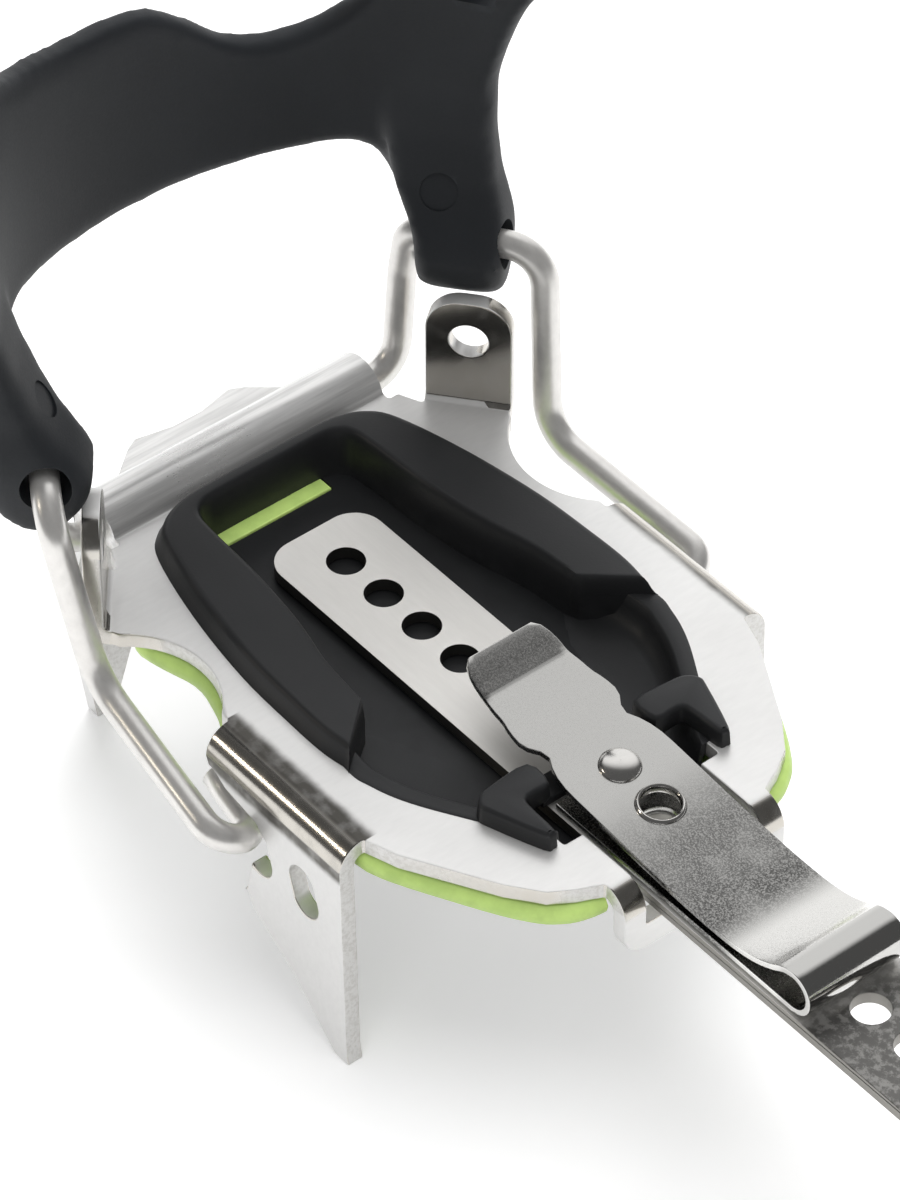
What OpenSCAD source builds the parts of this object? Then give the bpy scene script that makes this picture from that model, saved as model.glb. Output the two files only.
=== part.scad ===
// Strap crampon, heel half and toe half on a centre bar.
// Lengths in mm, +Z up, +X to the toe, tooth tips on z = 0.
// Modules build in a local frame: heel plate top at z = 0, and place() moves it.

/* [Sheet steel] */
// Thickness of the two frames
sheet_t = 2.5; // [2:0.1:3]
// Height of the frame tops above the tooth tips
tooth_h = 39; // [34:1:44]
// Inner radius of the tooth bends
bend_in = 1.5; // [1:0.1:2]

/* [Heel frame] */
// Width over the outer faces of the side teeth
heel_w = 72; // [70:0.5:76]
// Height of the upright ears
ear_h = 17.5; // [15:0.5:18]
// Hole in each ear
ear_hole_d = 5.4; // [4.5:0.1:6]
// Distance from the plate top down to the bar
bar_drop = 2.6; // [2.4:0.1:3]

/* [Toe frame] */
// Width over the outer faces of the side teeth
toe_w = 88; // [84:1:94]
// Length of the front points
point_len = 36; // [30:1:42]
// Downward angle of the front points
point_angle = 28; // [20:1:35]

/* [Centre bar] */
// Length from the rear end to the hinge bolt
bar_len = 168; // [160:8:184]
// Width
bar_w = 17; // [15:0.5:17.5]
// Thickness
bar_t = 2; // [1.6:0.1:2.4]
// Spacing of the adjusting holes
hole_pitch = 8; // [7.5:0.1:8.4]
// Diameter of the adjusting holes
hole_d = 5.3; // [5.1:0.1:5.6]

/* [Adjuster] */
// Thickness of the sprung strip
leaf_t = 0.9; // [0.7:0.05:1]
// Width of the sprung strip
leaf_w = 16.4; // [14:0.2:16.6]
// Diameter of the stud below the lever
stud_d = 4.2; // [3.6:0.1:4.3]

/* [Wire and cradles] */
// Wire diameter of both bails
wire_d = 4; // [3.6:0.1:4.2]
// Hole in each heel cradle leg
leg_hole_d = 7; // [6.6:0.1:7.4]
// Wall of the cradle bands
band_t = 5; // [4:0.5:6]
// Width of the strap slots in the cradles
strap_slot = 4.6; // [4.2:0.1:5]

/* [Anti-ball parts] */
// Height of the heel insert's ridge above the plate
ridge_h = 3; // [2:0.5:4]
// Wall of the soft shells
shell_t = 1.6; // [1.2:0.1:2]
// Depth of the soft shells below the plate top
shell_depth = 13; // [12.8:0.2:15]

/* [Hinge] */
// Bolt diameter
bolt_d = 4; // [3.6:0.1:4.4]

/* [Hidden] */
// Gap between pieces that move past each other
run_gap = 0.3;
// Radial gap of the bolt in the bar's eye
bore_gap = 0.05;
// Gap of parts clipped into the same frame
clip_gap = 0.15;

wire_r = wire_d / 2;
// Balls at the bends stand a hair proud, which keeps the joins clean
ball_r = wire_r + 0.02;
bend_out = bend_in + sheet_t;
// Half height of the keys in the bends, and their depth under the sheet's faces
key = 0.3;
key_in = 0.6;

// Heel places
flat_y = heel_w / 2 - bend_out;
tooth_x0 = -25;
tooth_x1 = 2.8;
roll_x = -66;
roll_z = -1.2;
roll_half = flat_y - 9;
roll_in = wire_r + 0.25;
roll_out = roll_in + sheet_t;
ear_angle = 39.2;
ear_x = -57.3;
ear_y = flat_y - 6.1;
ear_w = 12;
ear_in = 1;
slot_x = -14.4;
slot_z = -13.2;
slot_step = 9.6;
slot_len = 8;
slot_w = wire_d + 1;
cut_x = -36;
cut_r = 13.2;
cut_y = flat_y + 9.2;

// Bar and front flange places
bar_top = -bar_drop;
bar_low = bar_top - bar_t;
bar_rear = -48.6;
first_hole = bar_rear + 7.7;
hole_count = floor((bar_len - 24) / hole_pitch);
pin_x = bar_rear + bar_len;
eye_in = bolt_d / 2 + bore_gap;
eye_out = eye_in + bar_t;
// The eye's top sits a hair under the bar's top
pin_z = bar_top - eye_out - 0.1;
wall_in = 9.5;
curl_in = 0.9;
curl_out = curl_in + sheet_t;
curl_y = wall_in + curl_out;
flange_x = 28.1;
flange_half = 13.4;
flange_low = -10.8;
flange_round = 4;
bar_slot = 9.8;
bar_slot_x = 19.5;
bar_slot_low = bar_low - 1.7;

// Adjuster places
leaf_z = bar_top + run_gap;
loop_x = 57.5;
loop_out = 2.35;
loop_z = leaf_z + loop_out;
lever_z = leaf_z + 2 * loop_out - leaf_t;
lever_end = loop_x - 0.9;
kick_x = 12;
kick_angle = 8;
stud_x = first_hole + 7 * hole_pitch;
eyelet_x = stud_x + 8;
eyelet_d = 6.8;
rivet_d = 3;

// Heel cradle places
leg_r = 7;
leg_off = ear_in + sheet_t + leg_r - 1.6;
leg_mid = 5.5;
leg_z = ear_h + 5.1;
leg_half = 6.3;
leg_lean = 21;
heel_round_x = -36;
heel_round_r = heel_w / 2 + 16;

// Toe places, x from the hinge bolt
toe_flat_y = toe_w / 2 - bend_out;
toe_slot_x = 62;
toe_slot_z = -11;
toe_round_x = 60;
toe_round_r = 47;
toe_wire_z = 22;
toe_wire_angle = 50;
point_x = 84;

// Tips on the floor, length centred on the origin
rear_x = heel_round_x - heel_round_r;
front_x = pin_x + point_x + point_len * cos(point_angle) + sheet_t * sin(point_angle);
centre_x = -(rear_x + front_x) / 2;

// Moves a module from the local frame to the object's frame
module place() {
  translate([centre_x, 0, tooth_h]) children();
}

// Same, with x measured from the hinge bolt
module place_toe() {
  translate([centre_x + pin_x, 0, tooth_h]) children();
}

// A half and its mirror image across the length
module both() {
  children();
  mirror([0, 1, 0]) children();
}

// The same for a flat section whose first axis runs across the crampon
module both_2d() {
  children();
  mirror([1, 0]) children();
}

// Extrudes a (y, z) section along x
module along_x(x0, x1) {
  translate([x0, 0, 0]) rotate([90, 0, 90]) linear_extrude(x1 - x0) children();
}

// Extrudes an (x, z) section along y, from y0 outwards
module along_y(y0, y1) {
  translate([0, y1, 0]) rotate([90, 0, 0]) linear_extrude(y1 - y0) children();
}

// Quarter of a ring, for sheet bends; sx and sy pick the quadrant
module quarter(r_in, r_out, sx, sy) {
  intersection() {
    difference() {
      circle(r_out, $fn = 64);
      circle(r_in, $fn = 64);
    }
    translate([sx > 0 ? 0 : -r_out, sy > 0 ? 0 : -r_out]) square(r_out);
  }
}

// Bend from a plate down to a tooth, with keys inside it that tie the three together
module tooth_bend(x0, x1) {
  along_x(x0, x1) quarter(bend_in, bend_out, 1, 1);
  along_x(x0 + 1, x1 - 1) {
    translate([-key, bend_in + key_in]) square([2 * key, sheet_t - 2 * key_in]);
    translate([bend_in + key_in, -key]) square([sheet_t - 2 * key_in, 2 * key]);
  }
}

// Slot with round ends, tilted
module slot_2d(len, wide, tilt) {
  rotate(tilt) {
    square([wide, len - wide], center = true);
    for (s = [-1, 1]) translate([0, s * (len - wide) / 2]) circle(wide / 2, $fn = 48);
  }
}

// Straight piece of wire between two points
module wire_run(a, b) {
  d = b - a;
  len = norm(d);
  translate(a)
    rotate([0, acos(d[2] / len), atan2(d[1], d[0])])
      cylinder(r = wire_r, h = len, $fn = 48);
}

// Wire through a list of points, with a ball at each bend
module wire_path(pts) {
  for (i = [0 : len(pts) - 2]) wire_run(pts[i], pts[i + 1]);
  for (i = [0 : len(pts) - 2]) translate(pts[i]) sphere(ball_r, $fn = 48);
}

// Whole outline from one half: the points, then their mirror images
function whole(pts) =
  concat(pts, [for (i = [len(pts) - 1 : -1 : 0]) if (pts[i][1] > 0) [pts[i][0], -pts[i][1]]]);

// Points moved in towards the line y = 0 and the place x = mid
function inset(pts, d, mid) =
  [for (p = pts) [p[0] + (p[0] < mid ? d : -d), p[1] > 0 ? p[1] - d : 0]];

// Point on the axis of a cradle leg, s along it
function leg_axis(s, z) =
  [ear_x - leg_off * sin(ear_angle) + s * cos(ear_angle),
   ear_y + leg_off * cos(ear_angle) + s * sin(ear_angle), z];

// Opening of the heel plate, one half
heel_opening = [[-58, 0], [-58, 13], [-54, flat_y - 14], [-43, flat_y - 11],
                [-30, flat_y - 8.5], [-8, flat_y - 8], [1.5, flat_y - 11],
                [7.5, flat_y - 14.2], [17, curl_y], [bar_slot_x, curl_y], [bar_slot_x, 0]];

// Outline of the soft heel shell, one half
heel_shell_line = [[-60.5, 0], [-60.5, roll_half - 4], [-56.5, flat_y - 8], [-47, flat_y - 2],
                   [-43, flat_y - 2.4], [-36, flat_y - 4.6], [-29, flat_y - 2.6],
                   [-25, flat_y - 0.5], [2, flat_y - 0.5], [7, flat_y - 2.4],
                   [19.5, flat_y - 9], [24, flat_y - 12.4], [26, flat_y - 15.4],
                   [26.4, curl_y + 0.2], [26.4, 0]];

// Opening of the toe plate, one half, x from the hinge bolt
toe_opening = [[24, 0], [24, 18], [32, toe_flat_y - 10], [64, toe_flat_y - 10], [73, 22], [73, 0]];

module heel_plate_2d() {
  difference() {
    both() difference() {
      polygon([[roll_x + roll_in, 0], [roll_x + roll_in, roll_half], [-60.3, roll_half],
               [-60.3, roll_half + 1.6], [ear_x, ear_y],
               [ear_x + (ear_w + 0.6) * cos(ear_angle), ear_y + (ear_w + 0.6) * sin(ear_angle)],
               [-44, flat_y], [tooth_x1, flat_y], [7.6, flat_y - 1.6],
               [20, flat_y - 8.6], [24.5, flat_y - 12], [26.5, flat_y - 15.2],
               [27.3, flange_half + 1.6], [flange_x, flange_half], [flange_x, 0]]);
      translate([cut_x, cut_y]) circle(cut_r, $fn = 96);
    }
    polygon(whole(heel_opening));
    translate([10, -bar_slot]) square([40, 2 * bar_slot]);
  }
}

// Side tooth outline in (x, z), with the two wire slots
module heel_tooth_2d() {
  difference() {
    polygon([[tooth_x0, -bend_out], [-22.5, -10], [-18.5, -18], [-16, -0.64 * tooth_h],
             [-8, -0.78 * tooth_h], [1, -tooth_h], [4, -tooth_h], [3.6, 3 - tooth_h],
             [tooth_x1, -bend_out]]);
    for (k = [0, 1]) translate([slot_x + k * slot_step, slot_z]) slot_2d(slot_len, slot_w, 17);
  }
}

// Rear teeth outline in (y, z)
module heel_rear_2d() {
  both_2d() polygon([[0, roll_z + 0.5], [0, -6], [6, -8.5], [roll_half - 10, -0.51 * tooth_h],
                     [roll_half - 3.5, -tooth_h], [roll_half - 0.5, -tooth_h],
                     [roll_half + 2, -0.56 * tooth_h], [roll_half + 2.3, -0.33 * tooth_h],
                     [roll_half, -4], [roll_half, roll_z + 0.5]]);
}

// Tongue behind the roll, seen from above
module heel_tongue_2d() {
  both() polygon([[roll_x - roll_in - 0.5, 0], [roll_x - roll_in - 0.5, 15],
                  [roll_x - roll_out - 1, 15], [-75.8, 10], [-76.8, 8], [-75.6, 2.5], [-75.6, 0]]);
}

// Front flange in (y, z), with its slot for the bar
module heel_flange_2d() {
  difference() {
    union() {
      translate([-flange_half, flange_low + flange_round])
        square([2 * flange_half, -bend_out - flange_low - flange_round]);
      translate([flange_round - flange_half, flange_low])
        square([2 * (flange_half - flange_round), flange_round + 0.1]);
      for (s = [-1, 1])
        translate([s * (flange_half - flange_round), flange_low + flange_round])
          circle(flange_round, $fn = 64);
    }
    translate([-bar_slot, bar_slot_low]) square([2 * bar_slot, 20]);
    translate([-flange_half - 1, -bend_out]) square([2 * flange_half + 2, 20]);
  }
}

// Front flange, bent down from the plate on both sides of the bar
module heel_flange() {
  along_x(flange_x + bend_in, flange_x + bend_out) heel_flange_2d();
  both() translate([flange_x, 0, -bend_out]) {
    along_y(bar_slot, flange_half) quarter(bend_in, bend_out, 1, 1);
    along_y(bar_slot + 0.8, flange_half - 0.8) {
      translate([-key, bend_in + key_in]) square([2 * key, sheet_t - 2 * key_in]);
      translate([bend_in + key_in, -key]) square([sheet_t - 2 * key_in, 2 * key]);
    }
  }
}

module ear() {
  translate([ear_x, ear_y, 0]) rotate([0, 0, ear_angle]) {
    difference() {
      translate([0, ear_in + sheet_t, 0]) rotate([90, 0, 0]) linear_extrude(sheet_t) difference() {
        union() {
          translate([0.6, ear_in]) square([ear_w, ear_h - 5 - ear_in]);
          for (x = [5.6, ear_w - 4.4]) translate([x, ear_h - 5]) circle(5, $fn = 64);
          translate([5.6, ear_h - 5]) square([ear_w - 10, 5]);
        }
        translate([0.6 + ear_w / 2, ear_h - 6.6]) circle(d = ear_hole_d, $fn = 64);
      }
    }
    translate([0, 0, ear_in]) {
      along_x(0.6, ear_w + 0.6) quarter(ear_in, ear_in + sheet_t, 1, -1);
      along_x(1.6, ear_w - 0.4) {
        translate([-key, key_in - ear_in - sheet_t]) square([2 * key, sheet_t - 2 * key_in]);
        translate([ear_in + key_in, -key]) square([sheet_t - 2 * key_in, 2 * key]);
      }
    }
  }
}

module heel_frame() {
  color([0.82, 0.82, 0.80]) place() {
    translate([0, 0, -sheet_t]) linear_extrude(sheet_t) heel_plate_2d();
    both() {
      translate([0, flat_y, -bend_out]) tooth_bend(tooth_x0, tooth_x1);
      along_y(flat_y + bend_in, flat_y + bend_out) heel_tooth_2d();
      ear();
    }
    along_y(-roll_half, roll_half) translate([roll_x, roll_z]) {
      quarter(roll_in, roll_out, 1, 1);
      quarter(roll_in, roll_out, -1, 1);
    }
    along_x(roll_x - roll_out, roll_x - roll_in) heel_rear_2d();
    translate([0, 0, roll_z - sheet_t]) linear_extrude(sheet_t) heel_tongue_2d();
    heel_flange();
  }
}

// Raised U ridge of the insert, seen from above
module ridge_2d() {
  both() {
    polygon([[-60.5, 0], [-60.5, flat_y - 17], [-59, flat_y - 13.5], [-55.5, flat_y - 11.5],
             [-43, flat_y - 9], [-30, flat_y - 6.5], [-9, flat_y - 6], [-5, flat_y - 7],
             [-15, 17], [-40, 12.5], [-57, 12], [-57, 0]]);
  }
}

// Bar and adjuster pocket in the insert, seen from above
module pocket_2d() {
  both() polygon([[-57, 0], [-57, 12], [-40, 12.5], [-15, 17], [-12, 16.5], [0, bar_w / 2 + 2],
                  [bar_slot_x, bar_w / 2 + 2], [bar_slot_x, 0]]);
}

module heel_insert() {
  pocket_floor = bar_low - run_gap;
  lip = 0.8;
  color([0.12, 0.12, 0.13]) place() {
    difference() {
      union() {
        translate([0, 0, pocket_floor - 2.2]) linear_extrude(2.2 - pocket_floor + lip)
          polygon(whole(inset(heel_opening, clip_gap, -20)));
        linear_extrude(lip) both()
          polygon([[-20, 0], [-20, flat_y - 6.5], [-9, flat_y - 6], [3, flat_y - 9],
                   [9, flat_y - 12.2], [16.5, curl_y + 0.6], [16.5, 0]]);
      }
      translate([0, 0, pocket_floor]) linear_extrude(20) pocket_2d();
      translate([-56.5, -8.3, pocket_floor - 10]) cube([4.2, 16.6, 20]);
    }
    linear_extrude(ridge_h) ridge_2d();
    both() translate([0, 0, lip - 0.1]) linear_extrude(0.9)
      polygon([[10, 12], [13, 12], [13, 10.8], [18, 14.4], [12, 17], [10, 15]]);
    translate([2.5, -13, bar_top + run_gap]) cube([6, 26, 1.6]);
  }
}

module heel_shell() {
  color([0.62, 0.80, 0.32]) place() {
    difference() {
      translate([0, 0, -shell_depth]) linear_extrude(shell_depth - sheet_t - 0.05)
        polygon(whole(heel_shell_line));
      translate([0, 0, shell_t - shell_depth]) linear_extrude(shell_depth)
        polygon(whole(inset(heel_shell_line, shell_t, -20)));
      translate([bar_slot_x - 1, -curl_y - 0.2, flange_low - 0.4])
        cube([40, 2 * curl_y + 0.4, 40]);
    }
  }
}

module heel_bail() {
  top_r = leg_axis(leg_mid - 7.7, leg_z);
  top_f = leg_axis(leg_mid + 7.7, leg_z);
  rear = [roll_x, roll_half + 2, roll_z];
  side = [rear, [roll_x - 0.8, roll_half + 5, 2], [top_r[0] - 1.2, top_r[1] - 2.4, leg_z - 8],
          [top_r[0] - 1.2, top_r[1] - 1.4, leg_z - 3], top_r, top_f, top_f + [1.6, 0.3, -2],
          top_f + [2.4, 0, -6], [-46.6, heel_w / 2 + 4, -2], [-44.8, heel_w / 2 + 4, -4.8],
          [-41, heel_w / 2 + 4.2, -6], [-18.6, heel_w / 2 + 5.8, slot_z + 4.4],
          [slot_x - 1, heel_w / 2 + 4.4, slot_z + 2.8],
          [slot_x - 0.5, flat_y + 0.6, slot_z + 1.5]];
  color([0.72, 0.72, 0.70]) place() {
    wire_run([rear[0], -rear[1], rear[2]], rear);
    both() wire_path(side);
  }
}

// One leg of the heel cradle, without its hole: a boss on the wire and a strap that leans outwards
module cradle_leg() {
  translate(leg_axis(leg_mid, leg_z)) rotate([0, 0, ear_angle]) {
    rotate([0, 90, 0]) cylinder(r = leg_r, h = 2 * leg_half, center = true, $fn = 64);
    rotate([-leg_lean, 0, 0]) {
      translate([0.5 - leg_half, -leg_r + 1, 0]) cube([2 * leg_half - 2, 2 * leg_r - 4, 8]);
      translate([-leg_half - 5, -leg_r + 2, 6]) cube([2 * leg_half + 2.4, 2 * leg_r - 6, 17]);
    }
  }
}

// The upper edge dips on the left and climbs towards the right arm
module heel_cradle() {
  band_low = leg_z + 8.8;
  band_top = band_low + 31.6;
  arm_top = 76;
  waist_x = heel_round_x - 25.2;
  waist_z = leg_z + 17.4;
  waist_r = 44;
  arm_x = heel_round_x - 16;
  color([0.15, 0.15, 0.16]) place() difference() {
    union() {
      difference() {
        translate([heel_round_x, 0, band_low])
          cylinder(r = heel_round_r, h = arm_top - band_low, $fn = 96);
        translate([arm_x, -100, 0]) cube([200, 200, 200]);
        translate([waist_x + waist_r, 0, waist_z]) rotate([90, 0, 0])
          cylinder(r = waist_r, h = 200, center = true, $fn = 96);
        translate([-100, 20, band_top + 4.5]) rotate([0, 90, 0]) cylinder(r = 16, h = 80, $fn = 96);
        translate([-100, -14, band_top + 17]) rotate([0, 90, 0]) cylinder(r = 16, h = 80, $fn = 96);
        translate([-100, -11, band_top]) cube([80, 19, 40]);
        translate([heel_round_x, 0, 0]) cylinder(r = heel_round_r - band_t, h = 200, $fn = 96);
      }
      both() cradle_leg();
    }
    both() translate(leg_axis(leg_mid, leg_z)) rotate([0, 90, ear_angle])
      cylinder(d = leg_hole_d, h = 40, center = true, $fn = 64);
    both() translate([arm_x - 12, 0, arm_top - 17]) cube([strap_slot, 100, 14]);
  }
}

bar_corner = 4.5;

module centre_bar() {
  color([0.76, 0.74, 0.70]) place() {
    translate([0, 0, bar_low]) linear_extrude(bar_t) difference() {
      union() {
        for (s = [-1, 1]) translate([bar_rear + bar_corner, s * (bar_w / 2 - bar_corner)])
          circle(bar_corner, $fn = 64);
        translate([bar_rear, bar_corner - bar_w / 2]) square([bar_corner, bar_w - 2 * bar_corner]);
        translate([bar_rear + bar_corner, -bar_w / 2]) square([bar_len - bar_corner, bar_w]);
      }
      for (k = [0 : hole_count - 1]) translate([first_hole + k * hole_pitch, 0])
        circle(d = hole_d, $fn = 64);
    }
    along_y(-bar_w / 2, bar_w / 2) translate([pin_x, pin_z]) difference() {
      circle(eye_out, $fn = 96);
      circle(eye_in, $fn = 96);
      translate([-eye_out - 1, 0.4]) square([eye_out, 0.7]);
    }
  }
}

module adjuster_leaf() {
  color([0.66, 0.65, 0.62]) place() {
    translate([0, 0, leaf_z]) linear_extrude(leaf_t) difference() {
      translate([kick_x, -leaf_w / 2]) square([loop_x - kick_x, leaf_w]);
      translate([stud_x, 0]) circle(d = stud_d + 4, $fn = 64);
      translate([eyelet_x, 0]) circle(d = eyelet_d, $fn = 64);
    }
    along_y(-leaf_w / 2, leaf_w / 2) translate([loop_x, loop_z]) {
      quarter(loop_out - leaf_t, loop_out, 1, 1);
      quarter(loop_out - leaf_t, loop_out, 1, -1);
    }
    both() {
      translate([bar_slot_x - 3.4, leaf_w / 2 - 0.1, leaf_z])
        cube([3.2, wall_in + 1 - leaf_w / 2, leaf_t]);
      translate([bar_slot_x - 6.4, leaf_w / 2 - leaf_t, leaf_z]) cube([5, leaf_t, leaf_t + 0.4]);
    }
  }
}

module adjuster_lever() {
  color([0.66, 0.65, 0.62]) place() {
    translate([0, 0, lever_z]) linear_extrude(leaf_t) difference() {
      translate([kick_x, -leaf_w / 2]) square([lever_end - kick_x, leaf_w]);
      translate([stud_x, 0]) circle(d = rivet_d, $fn = 48);
      translate([eyelet_x, 0]) circle(d = eyelet_d, $fn = 64);
    }
    translate([kick_x, 0, lever_z]) rotate([0, kick_angle, 0]) linear_extrude(leaf_t)
      both() polygon([[0.3, 0], [0.3, leaf_w / 2], [-3, leaf_w / 2 - 1.4], [-6, leaf_w / 2 + 0.4],
                      [-10, leaf_w / 2 + 0.4], [-20, 6.4], [-21.2, 5], [-21.2, 0]]);
  }
}

module lever_stud() {
  tip = bar_top + run_gap;
  head_r = 2.9;
  head_h = 1.1;
  dome_r = (head_r * head_r + head_h * head_h) / (2 * head_h);
  color([0.75, 0.75, 0.72]) place() translate([stud_x, 0, 0]) {
    translate([0, 0, tip]) cylinder(d = stud_d, h = lever_z - tip, $fn = 64);
    translate([0, 0, lever_z - 0.1]) cylinder(d = rivet_d, h = leaf_t + 0.2, $fn = 48);
    intersection() {
      translate([0, 0, lever_z + leaf_t + head_h - dome_r]) sphere(dome_r, $fn = 64);
      translate([0, 0, lever_z + leaf_t]) cylinder(r = head_r + 1, h = 5, $fn = 64);
    }
  }
}

washer_t = 0.8;
washer_d = 2 * (-pin_z - curl_out);
lug_out = wall_in + sheet_t;
head_h = 2.6;
hex_d = 7.7;

module hinge_bolt() {
  color([0.70, 0.70, 0.68]) place_toe() translate([0, 0, pin_z]) rotate([90, 0, 0]) {
    translate([0, 0, -lug_out - washer_t])
      cylinder(d = bolt_d, h = 2 * lug_out + 2 * washer_t + 4.4, $fn = 64);
    translate([0, 0, -lug_out - washer_t - head_h]) cylinder(d = hex_d, h = head_h, $fn = 6);
  }
}

module hinge_nut() {
  color([0.70, 0.70, 0.68]) place_toe()
    translate([0, -lug_out - washer_t, pin_z]) rotate([90, 0, 0]) difference() {
      union() {
        cylinder(d = hex_d, h = 3, $fn = 6);
        cylinder(d = hex_d - 1.2, h = 4, $fn = 64);
      }
      translate([0, 0, -1]) cylinder(d = bolt_d, h = 8, $fn = 64);
    }
}

module hinge_washers() {
  color([0.70, 0.70, 0.68]) place_toe() for (y = [lug_out + washer_t, -lug_out])
    translate([0, y, pin_z]) rotate([90, 0, 0]) difference() {
      cylinder(d = washer_d, h = washer_t, $fn = 64);
      translate([0, 0, -1]) cylinder(d = bolt_d + 0.3, h = 4, $fn = 64);
    }
}

module toe_plate_2d() {
  difference() {
    both() difference() {
      polygon([[3, 0], [3, 18], [9, 26], [19, toe_flat_y], [42, toe_flat_y], [54, toe_flat_y],
               [74, toe_flat_y], [80, toe_flat_y - 4], [point_x, 31], [point_x, 17], [79, 10],
               [78, 0]]);
      translate([48, toe_flat_y + 5]) circle(8, $fn = 64);
    }
    polygon(whole(toe_opening));
    translate([-10, 0.1 - curl_y]) square([27, 2 * curl_y - 0.2]);
  }
}

// Rear side tooth of the toe frame, in (x, z)
module toe_tooth_rear_2d() {
  polygon([[19, -bend_out], [42, -bend_out], [39, -15], [31, -tooth_h], [27.5, -tooth_h], [21, -15]]);
}

// Front side tooth of the toe frame, in (x, z), with its wire slots
module toe_tooth_front_2d() {
  difference() {
    polygon([[54, -bend_out], [74, -bend_out], [75, -16], [78, -tooth_h], [74.5, -tooth_h],
             [60, -24], [56, -16]]);
    translate([toe_slot_x, toe_slot_z]) circle(d = slot_w, $fn = 48);
    translate([toe_slot_x + slot_step - 2, toe_slot_z - 2]) slot_2d(slot_len, slot_w, 17);
  }
}

module front_point() {
  translate([point_x - 0.3, 0, 0]) rotate([0, point_angle, 0]) translate([0, 0, -sheet_t])
    linear_extrude(sheet_t)
      polygon([[0, 17], [0, 31], [point_len - 8, 27], [point_len, 25], [point_len, 23],
               [point_len - 8, 21]]);
}

// Downward flanges that hold the hinge bolt, in (x, z)
module lug_2d() {
  difference() {
    union() {
      translate([0, pin_z]) circle(6, $fn = 64);
      translate([0, pin_z - 6]) square([17, -pin_z + 6 - curl_out]);
      translate([-6, pin_z]) square([23, -pin_z - curl_out]);
    }
    translate([0, pin_z]) circle(d = bolt_d, $fn = 64);
  }
}

module toe_frame() {
  color([0.82, 0.82, 0.80]) place_toe() {
    translate([0, 0, -sheet_t]) linear_extrude(sheet_t) toe_plate_2d();
    both() {
      translate([0, toe_flat_y, -bend_out]) {
        tooth_bend(19, 42);
        tooth_bend(54, 74);
      }
      along_y(toe_flat_y + bend_in, toe_flat_y + bend_out) {
        toe_tooth_rear_2d();
        toe_tooth_front_2d();
      }
      front_point();
      along_y(wall_in, wall_in + sheet_t) lug_2d();
      translate([0, curl_y, -curl_out]) along_x(-6, 17) quarter(curl_in, curl_out, -1, 1);
    }
  }
}

module toe_insert() {
  color([0.12, 0.12, 0.13]) place_toe() {
    difference() {
      translate([0, 0, -6]) linear_extrude(6) polygon(whole(inset(toe_opening, clip_gap, 50)));
      translate([30, -16, -4]) cube([36, 32, 10]);
    }
    linear_extrude(0.8) difference() {
      polygon(whole(inset(toe_opening, -2, 50)));
      translate([30, -16]) square([36, 32]);
    }
    both() linear_extrude(ridge_h) translate([34, 19]) square([28, 5]);
  }
}

module toe_shell() {
  line = [[20, 0], [20, 24], [26, toe_flat_y - 3], [42, toe_flat_y - 0.5], [45, toe_flat_y - 4],
          [51, toe_flat_y - 4], [54, toe_flat_y - 0.5], [72, toe_flat_y - 0.5], [77, 30], [77, 0]];
  color([0.62, 0.80, 0.32]) place_toe() difference() {
    translate([0, 0, -shell_depth]) linear_extrude(shell_depth - sheet_t - 0.05)
      polygon(whole(line));
    translate([0, 0, shell_t - shell_depth]) linear_extrude(shell_depth)
      polygon(whole(inset(line, shell_t, 50)));
  }
}

module toe_bail() {
  y_out = toe_w / 2 + wire_r + 1;
  end = [toe_round_x + toe_round_r * cos(toe_wire_angle), toe_round_r * sin(toe_wire_angle),
         toe_wire_z];
  side = [end, end + [-3.6, 4, -1.4], [80, y_out - 1.4, 14], [65.5, y_out, -6],
          [63.4, y_out - 0.3, -9], [toe_slot_x, y_out - 2, toe_slot_z],
          [toe_slot_x, toe_flat_y + 0.6, toe_slot_z]];
  color([0.72, 0.72, 0.70]) place_toe() {
    translate([toe_round_x, 0, toe_wire_z]) rotate([0, 0, -toe_wire_angle])
      rotate_extrude(angle = 2 * toe_wire_angle, $fn = 128)
        translate([toe_round_r, 0]) circle(wire_r, $fn = 48);
    both() wire_path(side);
  }
}

module toe_cradle() {
  span = 40;
  color([0.15, 0.15, 0.16]) place_toe() translate([toe_round_x, 0, 0]) difference() {
    rotate([0, 0, -span]) rotate_extrude(angle = 2 * span, $fn = 128) {
      translate([toe_round_r - 5.5, toe_wire_z - 6]) square([9, 12]);
      translate([toe_round_r - 1.5, toe_wire_z + 6]) square([band_t, 16]);
    }
    translate([0, 0, toe_wire_z]) rotate_extrude($fn = 128)
      translate([toe_round_r, 0]) circle(wire_r + 0.1, $fn = 48);
    for (a = [-30, 30]) rotate([0, 0, a])
      translate([toe_round_r - 6, -strap_slot / 2, toe_wire_z + 8]) cube([20, strap_slot, 11]);
  }
}

heel_frame();
heel_insert();
heel_shell();
heel_bail();
heel_cradle();
centre_bar();
adjuster_leaf();
adjuster_lever();
lever_stud();
hinge_bolt();
hinge_nut();
hinge_washers();
toe_frame();
toe_insert();
toe_shell();
toe_bail();
toe_cradle();
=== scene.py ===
"""Strap crampon: moulded pieces, wire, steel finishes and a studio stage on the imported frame."""

import math

import bmesh
import bpy
from bpy.props import FloatProperty, FloatVectorProperty, PointerProperty
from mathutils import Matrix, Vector
from mathutils.bvhtree import BVHTree


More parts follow.
